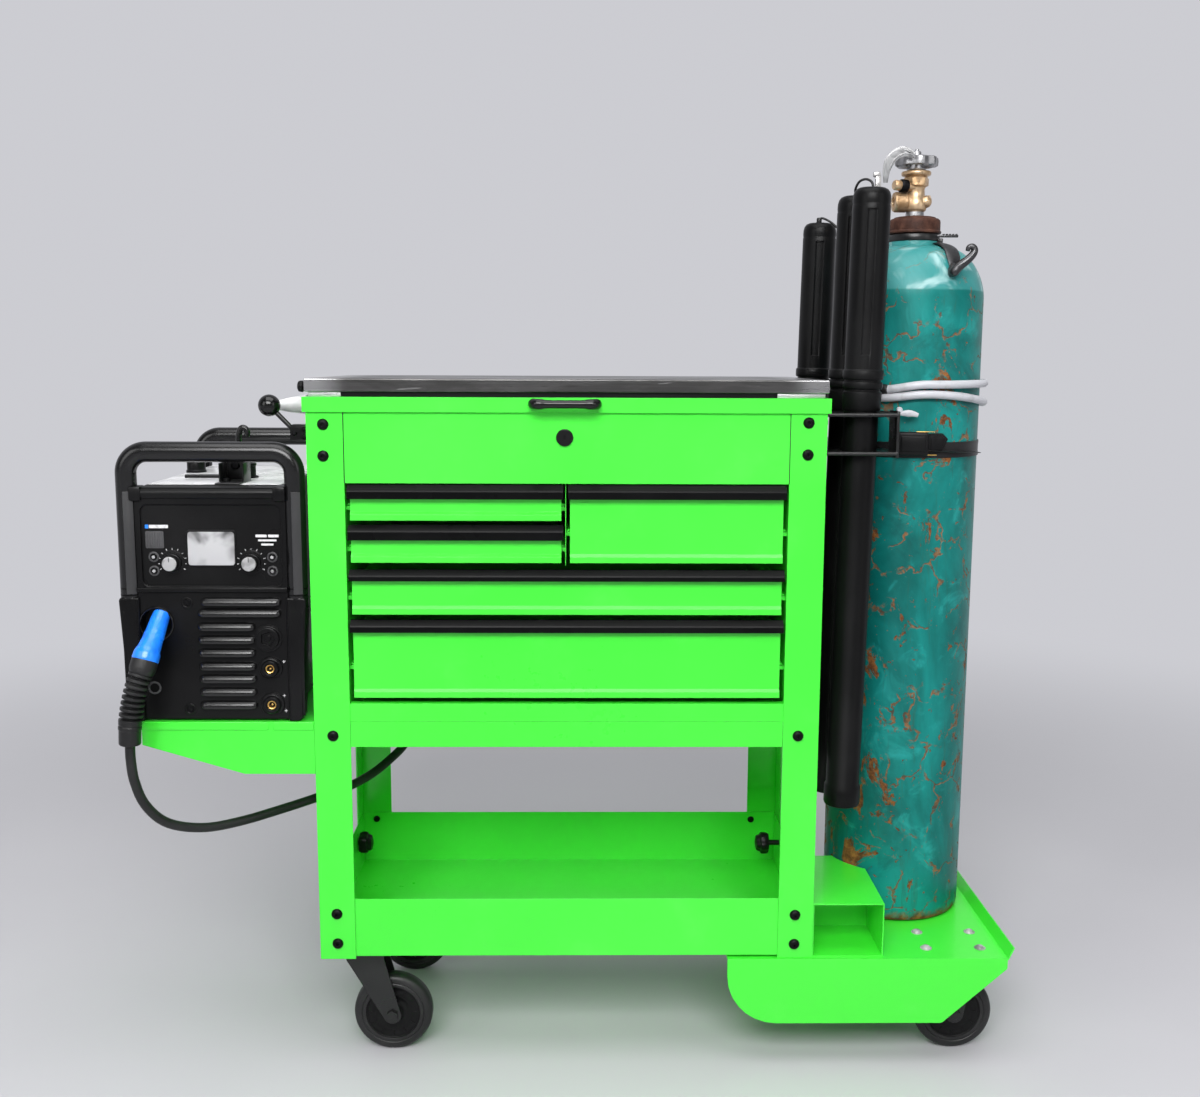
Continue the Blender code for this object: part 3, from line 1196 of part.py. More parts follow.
PANEL_FACE = FACE_Y + PANEL_RECESS
for name, x in zip(("knob_left", "knob_right"), KNOB_X):
    axis = pivot(f"{name}_axis", (x, PANEL_FACE, KNOB_Z))
    made = turned(
        name,
        [(0.0, 0.014), (0.0033, 0.014), (0.0033, -GAP), (KNOB_RADIUS, -GAP), (KNOB_RADIUS, -0.006),
         (0.0118, -0.0075), (0.0110, -0.018), (0.0100, -0.019), (0.0, -0.019)],
        (x, PANEL_FACE, KNOB_Z), BLACK, axis="Y", steps=20)
    cut(made, block(f"{name}_mark", (x - 0.0008, PANEL_FACE - 0.03, KNOB_Z + 0.002),
                    (x + 0.0008, PANEL_FACE - 0.018, KNOB_Z + 0.012)))
    hang(made, axis)
for name, (x, z) in BUTTONS.items():
    axis = pivot(f"{name}_axis", (x, PANEL_FACE, z))
    made = turned(
        name,
        [(0.0, 0.0065), (BUTTON_RADIUS, 0.0065), (BUTTON_RADIUS, -0.0022),
         (BUTTON_RADIUS - 0.001, -0.0032), (0.0, -0.0032)],
        (x, PANEL_FACE, z), BLACK, axis="Y", steps=14)
    hang(made, axis)


def roll_bar(name, y):
    """A bent tube over the case with a moulded bumper on each leg."""
    left = WELDER_LEFT + BAR_RADIUS
    right = WELDER_RIGHT - BAR_RADIUS
    made = tube(
        name,
        rounded([(left, y, BAR_BOTTOM), (left, y, BAR_TOP), (right, y, BAR_TOP),
                 (right, y, BAR_BOTTOM)],
                [0.0, BAR_CORNER, BAR_CORNER, 0.0], 6, closed=False),
        BAR_RADIUS, BLACK_METAL, resolution=3)
    for side, outer_x in ((1, WELDER_LEFT), (-1, WELDER_RIGHT)):
        inner_x = outer_x + side * (CASE_SIDE_INSET - 0.004 - GAP)
        outline = [
            (outer_x, BUMPER_TOP), (inner_x, BUMPER_TOP), (inner_x, WELDER_BASE - 0.0022),
            (outer_x + side * BUMPER_TAPER, WELDER_BASE - 0.0022)]
        join(made, prism(
            f"{name}_bumper_{side}", outline, "Y", y - BAR_RADIUS, y + BAR_RADIUS))
    return made


roll_bar("roll_bar_front", BAR_FRONT_Y)
roll_bar("roll_bar_rear", BAR_BACK_Y)

# Ball lever and its bracket on the left side of the cabinet

bracket = block(
    "lever_bracket", (LEVER_X - 0.006, LEVER_Y - 0.012, LEVER_Z - 0.009),
    (-HALF + POST_SHEET / 2, LEVER_Y + 0.014, LEVER_Z + 0.012))
cut(bracket, block(
    "lever_slot", (LEVER_X - 0.02, LEVER_Y - 0.0042, LEVER_Z - 0.005),
    (LEVER_X + 0.0075, LEVER_Y + 0.0042, LEVER_Z + 0.03)))
lever_pin = rod(
    "lever_pin", (LEVER_X, LEVER_Y - 0.008, LEVER_Z), (LEVER_X, LEVER_Y + 0.008, LEVER_Z),
    LEVER_PIN_RADIUS, sides=10)
join(front_left_post, bracket, lever_pin)
lever_axis = pivot("lever_axis", (LEVER_X, LEVER_Y, LEVER_Z))
lever = ball("ball_lever", (LEVER_BALL[0], LEVER_Y, LEVER_BALL[1]), BALL_RADIUS, BLACK)
lever_rod = rod(
    "lever_rod", (LEVER_BALL[0], LEVER_Y, LEVER_BALL[1]), (LEVER_X, LEVER_Y, LEVER_Z), 0.0035,
    sides=10)
lever_eye = rod(
    "lever_eye", (LEVER_X, LEVER_Y - 0.0038, LEVER_Z), (LEVER_X, LEVER_Y + 0.0038, LEVER_Z),
    0.0046, sides=14)
join(lever, lever_rod, lever_eye)
cut(lever, rod(
    "lever_bore", (LEVER_X, LEVER_Y - 0.010, LEVER_Z), (LEVER_X, LEVER_Y + 0.010, LEVER_Z),
    LEVER_PIN_RADIUS + GAP, sides=10))
hang(lever, lever_axis)

# Gun plug, lead, coil and gun

plug_line = smooth_route(PLUG_ROUTE, 0.0062)


def plug_radii(line):
    """The plug's steps, from its collar to the ribbed relief on the lead."""
    out = []
    count = len(line) - 1
    for i in range(count + 1):
        share = i / count
        if share < 0.40:
            out.append(0.0172)
        elif share < 0.45:
            out.append(0.0184)
        elif share < 0.80:
            out.append(0.0182 if i % 2 else 0.0158)
        else:
            out.append(0.0160)
    out[-1] = 0.0125
    return out


tube("gun_plug", plug_line, 0.0150, BLUE, resolution=3, radii=plug_radii(plug_line))

lead_line = smooth_route(LEAD_ROUTE, LEAD_STEP)
tube("gun_lead", lead_line, LEAD_RADIUS, RUBBER, resolution=2)


def coil_line():
    """Two layers: in along the floor, up a layer in half a turn, and out again."""
    points = [(COIL_START_X, COIL_CENTRE[1] - COIL_RADIUS, FLOOR_LEVEL)]
    turns = COIL_TURNS
    per_turn = 24
    middle = turns / 2
    for k in range(int(turns * per_turn) + 1):
        t = k / per_turn
        inward = min(t, turns - t)
        radius = COIL_RADIUS - COIL_PITCH * inward
        climb = min(1.0, max(0.0, (t - middle + 0.25) / 0.5))
        a = -pi / 2 + 2 * pi * t
        points.append((
            COIL_CENTRE[0] + radius * cos(a), COIL_CENTRE[1] + radius * sin(a),
            FLOOR_LEVEL + COIL_LAYER * climb))
    x, y, z = points[-1]
    tail = [(0.030, z), (0.060, z - 0.0012), (0.090, z - 0.0040), (0.118, GUN_Z), (0.150 - GAP, GUN_Z)]
    points += [(x + along, y, high) for along, high in tail]
    return points


coil_points = coil_line()
tube("lead_coil", coil_points, LEAD_RADIUS, RUBBER, resolution=1)


def least_self_gap(points, radius, skip):
    """The least clearance of a tube from itself, away from its own neighbours."""
    fine = smooth_route(points, radius)
    fine = [Vector(p) for p in fine]
    least = 1.0
    for i, a in enumerate(fine):
        for b in fine[i + skip:]:
            least = min(least, (a - b).length)
    return least - 2 * radius


def length_of(points):
    return sum((Vector(b) - Vector(a)).length for a, b in zip(points, points[1:]))


print("coil: least gap to itself %.2f mm" % (1000 * least_self_gap(coil_points, LEAD_RADIUS, 8)))
print("lead %.3f m, coil %.3f m" % (length_of(lead_line), length_of(coil_points)))

gun_y = COIL_CENTRE[1] - COIL_RADIUS
GUN_STATIONS = [
    (0.000, 0.0, 0.0105), (0.012, 0.0, 0.0135), (0.030, 0.0, 0.0150), (0.070, 0.0, 0.0155),
    (0.110, 0.0, 0.0145), (0.140, 0.0, 0.0150), (0.158, 0.0, 0.0120), (0.166, 0.0, 0.0075),
    (0.200, 0.0, 0.0075), (0.220, 0.006, 0.0075), (0.236, 0.018, 0.0075), (0.246, 0.032, 0.0075),
    (0.250, 0.040, 0.0095), (0.268, 0.074, 0.0095), (0.272, 0.082, 0.0078)]
gun = tube(
    "gun", [(GUN_X + a, gun_y + b, GUN_Z) for a, b, _ in GUN_STATIONS], 0.0155, BLACK,
    resolution=3, radii=[r for _, _, r in GUN_STATIONS])
cut(gun, block(
    "trigger_pocket", (GUN_X + 0.094, gun_y + 0.0075, GUN_Z - 0.0062),
    (GUN_X + 0.142, gun_y + 0.030, GUN_Z + 0.0062)))
trigger_axis = pivot("trigger_axis", (GUN_X + 0.138, gun_y + 0.0125, GUN_Z))
trigger = prism(
    "gun_trigger",
    [(GUN_X + 0.0985, gun_y + 0.0125), (GUN_X + 0.1395, gun_y + 0.0085),
     (GUN_X + 0.1410, gun_y + 0.0150), (GUN_X + 0.1200, gun_y + 0.0200),
     (GUN_X + 0.1000, gun_y + 0.0215)],
    "Z", GUN_Z - 0.0055, GUN_Z + 0.0055, BLACK)
hang(trigger, trigger_axis)
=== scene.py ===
"""The looks of the welding cart: finishes, fastenings, fittings, light and camera.

Metres, but millimetres inside mm(...), and percent and millimetres in the tables of along().
Places are written in the cart's own frame, as in the part's source: x = 0 at the middle of the
cabinet, y = 0 at the front of its posts, z = 0 on the floor.
"""
import json
from math import cos, pi, radians, sin

import bmesh
import bpy
from mathutils import Matrix, Vector


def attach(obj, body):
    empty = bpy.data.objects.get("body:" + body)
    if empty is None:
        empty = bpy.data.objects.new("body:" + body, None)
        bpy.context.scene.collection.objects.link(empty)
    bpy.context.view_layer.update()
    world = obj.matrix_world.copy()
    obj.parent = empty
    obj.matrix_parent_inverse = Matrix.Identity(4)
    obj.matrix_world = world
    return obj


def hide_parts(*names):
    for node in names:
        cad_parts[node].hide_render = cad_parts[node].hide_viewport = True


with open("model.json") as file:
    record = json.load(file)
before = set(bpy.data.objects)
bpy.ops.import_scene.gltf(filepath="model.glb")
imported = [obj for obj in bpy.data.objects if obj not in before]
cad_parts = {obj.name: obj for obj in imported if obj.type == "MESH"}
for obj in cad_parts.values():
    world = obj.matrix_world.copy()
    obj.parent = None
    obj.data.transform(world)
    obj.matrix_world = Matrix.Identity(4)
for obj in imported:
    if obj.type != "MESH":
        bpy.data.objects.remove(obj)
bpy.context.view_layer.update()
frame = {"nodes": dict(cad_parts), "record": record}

SHIFT = Vector((-0.0156454, -0.21465, 0.0))
GAP = 0.0003


def at(x, y, z):
    return Vector((x, y, z)) + SHIFT


def mm(*rows):
    """Rows of millimetres, in metres."""
    return [tuple(round(v / 1000, 7) for v in row) for row in rows]


def new_object(name, data):
    made = bpy.data.objects.new(name, data)
    bpy.context.scene.collection.objects.link(made)
    return made


# Camera

PITCH, YAW, ROLL = radians(8.34), radians(-0.81), radians(0.24)
FOCAL_PIXELS = 1293.0
WIDTH_PIXELS = 1200

lens = bpy.data.cameras.new("camera")
lens.sensor_fit = "HORIZONTAL"
lens.sensor_width = 36.0
lens.lens = FOCAL_PIXELS * lens.sensor_width / WIDTH_PIXELS
lens.clip_end = 100.0
camera = new_object("camera", lens)
level = Vector((cos(YAW), sin(YAW), 0.0))
ahead = Vector((-sin(YAW) * cos(PITCH), cos(YAW) * cos(PITCH), -sin(PITCH)))
above = Vector((-sin(YAW) * sin(PITCH), cos(YAW) * sin(PITCH), cos(PITCH)))
right = level * cos(ROLL) + above * sin(ROLL)
up = above * cos(ROLL) - level * sin(ROLL)
turn = Matrix((right, up, -ahead)).transposed().to_4x4()
camera.matrix_world = Matrix.Translation(at(0.022, -1.927, 1.116)) @ turn
bpy.context.scene.camera = camera
bpy.context.scene.view_settings.view_transform = "Standard"


# Material nodes

class Nodes:
    """Adds nodes to a tree; a socket among a node's inputs is linked, a value is set."""

    def __init__(self, tree):
        self.tree = tree

    def add(self, kind, inputs=None, **settings):
        node = self.tree.nodes.new(kind)
        for key, value in settings.items():
            setattr(node, key, value)
        for key, value in (inputs or {}).items():
            if isinstance(value, bpy.types.NodeSocket):
                self.tree.links.new(value, node.inputs[key])
            elif value is not None:
                node.inputs[key].default_value = value
        return node


class Surface(Nodes):
    """Writes the nodes of one procedural finish."""

    def __init__(self, name, colour, roughness, metallic=0.0, **more):
        self.material = bpy.data.materials.new(name)
        self.material.use_nodes = True
        super().__init__(self.material.node_tree)
        self.shader = self.tree.nodes["Principled BSDF"]
        values = {"Base Color": (*colour, 1.0), "Roughness": roughness, "Metallic": metallic}
        values.update(more)
        for socket, value in values.items():
            self.shader.inputs[socket].default_value = value
        self.material.diffuse_color = (*colour, 1.0)
        self.where = self.add("ShaderNodeTexCoord").outputs["Object"]

    def noise(self, scale, detail=3.0, rough=0.5, warp=0.0, stretch=(1.0, 1.0, 1.0),
              shift=(0.0, 0.0, 0.0)):
        spot = self.add("ShaderNodeMapping", {
            "Vector": self.where, "Scale": stretch, "Location": shift})
        return self.add("ShaderNodeTexNoise", {
            "Vector": spot.outputs["Vector"], "Scale": scale, "Detail": detail,
            "Roughness": rough, "Distortion": warp}).outputs["Fac"]

    def cloud(self, scale, detail, rough, low, high, share=1.0, **more):
        """A noise that grows from nothing to a share between two of its levels."""
        return self.fit(self.noise(scale, detail, rough, **more), low, high, 0.0, share)

    def fit(self, value, low, high, start=0.0, end=1.0):
        return self.add("ShaderNodeMapRange", {
            "Value": value, "From Min": low, "From Max": high, "To Min": start, "To Max": end},
            interpolation_type="SMOOTHSTEP").outputs["Result"]

    def maths(self, operation, first, second=0.0):
        return self.add("ShaderNodeMath", {0: first, 1: second}, operation=operation).outputs[0]

    def times(self, first, second):
        return self.maths("MULTIPLY", first, second)

    def plus(self, first, second):
        return self.maths("ADD", first, second)

    def blend(self, share, first, second):
        def colour(value):
            return value if isinstance(value, bpy.types.NodeSocket) else (*value, 1.0)
        node = self.add("ShaderNodeMix", {0: share, 6: colour(first), 7: colour(second)},
                        data_type="RGBA")
        return node.outputs[2]

    def part(self, axis):
        return self.add("ShaderNodeSeparateXYZ", {0: self.where}).outputs[axis]

    def colour(self, socket):
        self.tree.links.new(socket, self.shader.inputs["Base Color"])

    def rough(self, value, smooth=None, dull=None):
        """Roughness, a socket as it is or fitted between a smooth and a dull value."""
        if smooth is not None:
            value = self.fit(value, 0.3, 0.7, smooth, dull)
        self.tree.links.new(value, self.shader.inputs["Roughness"])

    def bump(self, height, distance, edge=0.0):
        """Relief, over the normal of softly rounded edges where edge is given."""
        soft = edge and self.add("ShaderNodeBevel", {"Radius": edge}, samples=4).outputs["Normal"]
        node = self.add("ShaderNodeBump", {
            "Strength": 1.0, "Distance": distance, "Height": height, "Normal": soft or None})
        self.tree.links.new(node.outputs["Normal"], self.shader.inputs["Normal"])


def green_paint():
    made = Surface("green_paint", (0.056, 0.79, 0.042), 0.33, **{
        "Coat Weight": 0.25, "Coat Roughness": 0.12})
    broad = made.noise(2.2, 3.0, 0.5)
    fine = made.noise(60.0, 4.0, 0.6)
    tone = made.blend(made.fit(broad, 0.35, 0.65), (0.04, 0.7, 0.028), (0.05, 0.745, 0.036))
    specks = made.cloud(420.0, 2.0, 0.5, 0.7, 0.78)
    tone = made.blend(made.times(specks, 0.25), tone, (0.035, 0.62, 0.025))
    dust = made.cloud(9.0, 6.0, 0.65, 0.52, 0.8, 0.1)
    made.colour(made.blend(dust, tone, (0.22, 0.82, 0.19)))
    mixed = made.plus(made.times(broad, 0.6), made.times(fine, 0.4))
    made.rough(mixed, 0.27, 0.41)
    made.bump(made.noise(310.0, 2.0, 0.5), 0.00006, 0.0009)
    return made.material


def moulded_black(name="moulded_black", colour=(0.0048, 0.0048, 0.005), grain=900.0, depth=0.00005,
                  rough=(0.26, 0.38), shine=0.14):
    made = Surface(name, colour, 0.45, **{"Specular IOR Level": shine})
    broad = made.noise(7.0, 4.0, 0.55)
    made.colour(made.blend(made.fit(broad, 0.4, 0.75, 0.0, 0.7), colour,
                           tuple(v * 1.7 + 0.001 for v in colour)))
    made.rough(broad, *rough)
    made.bump(made.noise(grain, 2.0, 0.5), depth, 0.0006)
    return made.material


def black_coat():
    made = Surface("black_coat", (0.01, 0.01, 0.0103), 0.3, **{"Specular IOR Level": 0.4})
    broad = made.noise(5.0, 4.0, 0.6)
    worn = made.cloud(55.0, 5.0, 0.7, 0.72, 0.8)
    tone = made.blend(made.fit(broad, 0.4, 0.7), (0.008, 0.008, 0.0083), (0.015, 0.015, 0.0154))
    made.colour(made.blend(made.times(worn, 0.5), tone, (0.1, 0.1, 0.1)))
    made.rough(broad, 0.24, 0.36)
    made.bump(made.noise(520.0, 2.0, 0.55), 0.00006, 0.0007)
    return made.material


def rubber(name="rubber", colour=(0.008, 0.008, 0.0083)):
    made = Surface(name, colour, 0.5, **{"Specular IOR Level": 0.35})
    broad = made.noise(12.0, 5.0, 0.6)
    dust = made.cloud(45.0, 6.0, 0.7, 0.52, 0.78, 0.35)
    tone = made.blend(made.fit(broad, 0.35, 0.7), colour, tuple(v * 2.0 for v in colour))
    made.colour(made.blend(dust, tone, (0.04, 0.039, 0.037)))
    made.rough(broad, 0.36, 0.54)
    made.bump(made.noise(700.0, 3.0, 0.6), 0.0001, 0.0006)
    return made.material


def worktop_steel():
    """Stainless: grain along X, smudges and painted highlights, scratches, stains, paler ends."""
    made = Surface("worktop_steel", (0.26, 0.255, 0.25), 0.34, 1.0)
    grain = made.noise(1.0, 3.0, 0.6, stretch=(9.0, 900.0, 900.0))
    smear_and_sheen = made.noise(5.0, 5.0, 0.62, 0.8, stretch=(1.0, 2.2, 5.0))
    stain = made.noise(14.0, 6.0, 0.7, 0.4)
    scratch = made.cloud(1.0, 2.0, 0.5, 0.7, 0.74, warp=0.5, stretch=(13.0, 300.0, 120.0))
    # From dark smudges to pale patches: the dark ones are smudges, the pale ones are painted
    # blotchy highlights.
    tone = made.blend(made.fit(smear_and_sheen, 0.36, 0.66), (0.036, 0.035, 0.034), (0.125, 0.123, 0.121))
    tone = made.blend(made.fit(stain, 0.55, 0.72, 0.0, 0.5), tone, (0.03, 0.028, 0.026))
    whole = made.add("ShaderNodeTexCoord").outputs["Generated"]
    across = made.add("ShaderNodeSeparateXYZ", {0: whole}).outputs["X"]
    end = made.maths("ABSOLUTE", made.maths("SUBTRACT", across, 0.5))
    end = made.plus(end, made.times(made.noise(30.0, 3.0, 0.6), 0.03))
    tone = made.blend(made.fit(end, 0.43, 0.5, 0.0, 0.75), tone, (0.5, 0.5, 0.505))
    tone = made.blend(made.times(grain, 0.15), tone, (0.4, 0.4, 0.4))
    made.colour(made.blend(made.times(scratch, 0.35), tone, (0.45, 0.45, 0.45)))
    made.rough(made.plus(made.fit(smear_and_sheen, 0.3, 0.7, 0.32, 0.2), made.times(grain, 0.12)))
    height = made.plus(grain, made.times(scratch, -1.5))
    made.bump(height, 0.00003, 0.001)
    return made.material


def plated(name="plated", colour=(0.52, 0.51, 0.5), roughness=0.28, dirt=(0.1, 0.09, 0.08)):
    made = Surface(name, colour, roughness, 1.0)
    broad = made.noise(40.0, 5.0, 0.6)
    made.colour(made.blend(made.fit(broad, 0.48, 0.75, 0.0, 0.75), colour, dirt))
    made.rough(made.fit(broad, 0.35, 0.7, roughness, roughness + 0.22))
    made.bump(made.noise(800.0, 3.0, 0.6), 0.00005, 0.0005)
    return made.material


def brass_casting():
    made = Surface("brass_casting", (0.56, 0.4, 0.24), 0.42, 0.8)
    broad = made.noise(55.0, 5.0, 0.65)
    tone = made.blend(made.fit(broad, 0.35, 0.65), (0.64, 0.47, 0.3), (0.43, 0.28, 0.15))
    tarnish = made.cloud(150.0, 5.0, 0.7, 0.56, 0.72, 0.7)
    made.colour(made.blend(tarnish, tone, (0.17, 0.11, 0.06)))
    made.rough(broad, 0.3, 0.52)
    made.bump(made.noise(600.0, 4.0, 0.6), 0.00012, 0.0006)
    return made.material


PAINT_LINE = 1.228


def cylinder_paint():
    """Old teal paint, repainted above the shoulder; rust chips, runs, stains, painted highlights.
    """
    made = Surface("cylinder_paint", (0.006, 0.19, 0.17), 0.44, **{"Specular IOR Level": 0.2})
    height = made.part("Z")
    cloud = made.noise(6.0, 5.0, 0.6, 0.6, stretch=(1.0, 1.0, 0.55))
    tone = made.blend(made.fit(cloud, 0.32, 0.68), (0.002, 0.1, 0.09), (0.006, 0.225, 0.205))
    pale = made.cloud(15.0, 4.0, 0.6, 0.54, 0.74, 0.6, warp=1.0)
    tone = made.blend(pale, tone, (0.022, 0.34, 0.315))
    murk = made.cloud(9.0, 5.0, 0.65, 0.5, 0.72, 0.62, warp=0.8, shift=(7.0, 2.0, 1.0))
    tone = made.blend(murk, tone, (0.004, 0.068, 0.064))
    runs = made.cloud(1.0, 4.0, 0.65, 0.55, 0.74, 0.6, warp=0.5, stretch=(75.0, 75.0, 9.0))
    tone = made.blend(runs, tone, (0.024, 0.085, 0.062))
    fresh = made.blend(made.fit(cloud, 0.35, 0.65), (0.026, 0.2, 0.195), (0.07, 0.29, 0.285))
    # Pale blotches on the repainted shoulder: painted highlights, standing in for blurry
    # reflections of the gloss.
    painted_highlight = made.cloud(17.0, 3.0, 0.5, 0.52, 0.7, 0.75, warp=1.2, shift=(2.0, 5.0, 1.0))
    fresh = made.blend(painted_highlight, fresh, (0.38, 0.56, 0.56))
    wave = made.times(made.noise(7.0, 3.0, 0.5), 0.01)
    share = made.fit(made.plus(height, wave), PAINT_LINE + 0.002, PAINT_LINE + 0.006)
    tone = made.blend(share, tone, fresh)
    swirl = made.add("ShaderNodeTexNoise", {"Vector": made.where, "Scale": 26.0, "Detail": 4.0})
    swirl = made.add("ShaderNodeVectorMath", {
        0: swirl.outputs["Color"], 1: (0.07, 0.07, 0.09)}, operation="MULTIPLY").outputs[0]
    warped = made.add("ShaderNodeVectorMath", {0: made.where, 1: swirl}, operation="ADD")
    cells = made.add("ShaderNodeTexVoronoi", {"Vector": warped.outputs[0], "Scale": 13.0},
                     feature="DISTANCE_TO_EDGE").outputs["Distance"]
    lines = made.fit(cells, 0.034, 0.01)
    keep = made.cloud(20.0, 4.0, 0.65, 0.47, 0.55, shift=(1.0, 4.0, 2.0))
    lines = made.times(made.times(lines, keep), 0.8)
    left = made.fit(made.part("X"), 0.53, 0.44, 0.0, 0.085)
    patches = made.noise(17.0, 7.0, 0.72, 0.7, stretch=(1.0, 1.0, 0.7))
    patches = made.fit(made.plus(patches, left), 0.612, 0.64)
    spots = made.cloud(52.0, 5.0, 0.7, 0.635, 0.67, warp=0.4, shift=(4.0, 4.0, 0.0))
    pits = made.cloud(120.0, 3.0, 0.6, 0.72, 0.75)
    foot = made.fit(made.plus(height, made.times(made.noise(30.0, 5.0, 0.7), 0.05)), 0.222, 0.206)
    rust = lines
    for more in (patches, pits, spots, foot):
        rust = made.maths("MAXIMUM", rust, more)
    below = made.fit(height, PAINT_LINE + 0.03, PAINT_LINE - 0.01, 0.35, 1.0)
    rust = made.times(rust, below)
    brown = made.blend(made.cloud(70.0, 5.0, 0.7, 0.35, 0.65), (0.085, 0.03, 0.012),
                       (0.27, 0.105, 0.03))
    made.colour(made.blend(rust, tone, brown))
    made.rough(made.plus(made.fit(cloud, 0.3, 0.7, 0.3, 0.46), made.times(rust, 0.34)))
    made.bump(made.plus(made.times(rust, -1.2), made.times(made.noise(140.0, 5.0, 0.7), 0.35)),
              0.0005)
    return made.material


def rusty_collar():
    made = Surface("rusty_collar", (0.05, 0.022, 0.015), 0.5, **{"Specular IOR Level": 0.12})
    broad = made.noise(60.0, 6.0, 0.7)
    worn = made.fit(broad, 0.35, 0.7)
    made.colour(made.blend(worn, (0.034, 0.014, 0.01), (0.085, 0.038, 0.026)))
    made.rough(broad, 0.42, 0.7)
    made.bump(made.noise(260.0, 5.0, 0.7), 0.00035, 0.0006)
    return made.material


def vinyl():
    made = Surface("grey_vinyl", (0.46, 0.47, 0.5), 0.36)
    broad = made.noise(30.0, 4.0, 0.6)
    soiled = made.fit(broad, 0.5, 0.78, 0.0, 0.6)
    made.colour(made.blend(soiled, (0.47, 0.475, 0.505), (0.22, 0.22, 0.23)))
    made.rough(broad, 0.28, 0.46)
    made.bump(made.noise(220.0, 3.0, 0.6), 0.0001)
    return made.material


def blue_moulding():
    made = Surface("blue_moulding", (0.008, 0.19, 0.95), 0.3, **{"Coat Weight": 0.3})
    broad = made.noise(45.0, 4.0, 0.6)
    deep = made.fit(broad, 0.45, 0.75, 0.0, 0.6)
    made.colour(made.blend(deep, (0.01, 0.21, 0.97), (0.003, 0.09, 0.75)))
    made.rough(broad, 0.24, 0.4)
    made.bump(made.noise(400.0, 2.0, 0.5), 0.000012)
    return made.material


def display_glass():
    """A dark screen with a painted reflection of a bright window in slanting bands."""
    made = Surface("display_glass", (0.46, 0.465, 0.48), 0.3, **{"Specular IOR Level": 0.15})
    slant = made.plus(made.times(made.part("X"), 9.0), made.times(made.part("Z"), 16.0))
    slant = made.plus(slant, made.times(made.noise(14.0, 2.0, 0.5, 1.4), 2.4))
    band = made.maths("SINE", made.times(slant, 2.2))
    # Painted reflection: the slanting bands of light and dark are in the base colour, not
    # mirrored.
    made.colour(made.blend(made.fit(band, -0.9, 0.9), (0.055, 0.055, 0.058), (0.44, 0.44, 0.45)))
    made.rough(made.fit(band, -1.0, 1.0, 0.24, 0.34))
    return made.material


def pale_painted_reflection(name="pale_painted_reflection", pale=(0.74, 0.74, 0.75), dark=(0.3, 0.3, 0.31), scale=11.0):
    made = Surface(name, pale, 0.24, 0.0, **{"Coat Weight": 0.3})
    cloud = made.noise(scale, 2.0, 0.5, 0.3)
    # Painted reflection: the pale base stands in for the bright mirror of silver parts, and the
    # darker blotches are painted shading across them.
    made.colour(made.blend(made.fit(cloud, 0.48, 0.68, 0.0, 0.85), pale, dark))
    made.rough(cloud, 0.2, 0.36)
    return made.material


def print_white():
    made = Surface("white_print", (0.62, 0.62, 0.63), 0.5)
    thin = made.cloud(300.0, 4.0, 0.6, 0.4, 0.7)
    made.colour(made.blend(thin, (0.66, 0.66, 0.67), (0.46, 0.46, 0.47)))
    return made.material


def dark_greys(rows):
    """Moulded finishes: name, tone, blueness, grain, relief in micrometres, roughness, shine."""
    for name, tone, blue, grain, relief, low, high, shine in rows:
        yield moulded_black(name, (tone, tone, tone + blue), grain, relief * 1e-6, (low, high),
                            shine)


GREEN = green_paint()
BLACK = moulded_black()
(GRAINED, CANISTER_BLACK, GLOSS_BLACK, GREY_PLASTIC, BAR_BLACK, PULL_BLACK, LEG_PAINTED_HIGHLIGHT,
 GILL_BLACK) = dark_greys((
     ("grained_black", 0.003, 0.0002, 620.0, 100, 0.26, 0.38, 0.17),
     ("canister_black", 0.0036, 0.0002, 240.0, 80, 0.32, 0.44, 0.12),
     ("gloss_black", 0.0034, 0.0002, 900.0, 10, 0.12, 0.22, 0.34),
     ("grey_plastic", 0.055, 0.002, 500.0, 120, 0.4, 0.56, 0.14),
     ("bar_black", 0.0045, 0.0002, 420.0, 60, 0.18, 0.27, 0.4),
     ("pull_black", 0.0028, 0.0002, 900.0, 10, 0.22, 0.34, 0.06),
     # Lighter strips on the bar legs: painted highlights.
     ("leg_painted_highlight", 0.03, 0.001, 420.0, 60, 0.34, 0.46, 0.4),
     ("gill_black", 0.004, 0.0002, 620.0, 50, 0.2, 0.28, 0.5)))
COAT = black_coat()
RUBBER = rubber()
TYRE = rubber("tyre_rubber", (0.0085, 0.0085, 0.0088))
STEEL = worktop_steel()
PLATED = plated()
CAST = plated("cast_alloy", (0.36, 0.36, 0.37), 0.34, (0.11, 0.108, 0.105))
HOOK_GREY = plated("hook_grey", (0.075, 0.075, 0.078), 0.32, (0.03, 0.03, 0.03))
BOLT_BLACK = plated("black_oxide", (0.014, 0.014, 0.015), 0.36, (0.006, 0.006, 0.006))
EDGE = plated("edge_steel", (0.6, 0.6, 0.605), 0.3, (0.4, 0.4, 0.4))
GOLD = plated("gold_contact", (0.8, 0.52, 0.16), 0.25, (0.48, 0.28, 0.08))
# For the welder's top: a painted reflection of the bright backdrop on its black top.
TOP_PAINTED_REFLECTION = pale_painted_reflection()
PALE_STOP = pale_painted_reflection("pale_stop", (0.62, 0.62, 0.625), (0.36, 0.36, 0.363), 24.0)
SILVER = pale_painted_reflection("silver", (0.36, 0.36, 0.364), (0.13, 0.13, 0.132), 40.0)
SILVER_CAP = pale_painted_reflection("silver_cap", (0.34, 0.34, 0.344), (0.17, 0.17, 0.172), 50.0)
BRASS = brass_casting()
TEAL = cylinder_paint()
COLLAR = rusty_collar()
VINYL = vinyl()
BLUE = blue_moulding()
DISPLAY = display_glass()
WHITE = print_white()

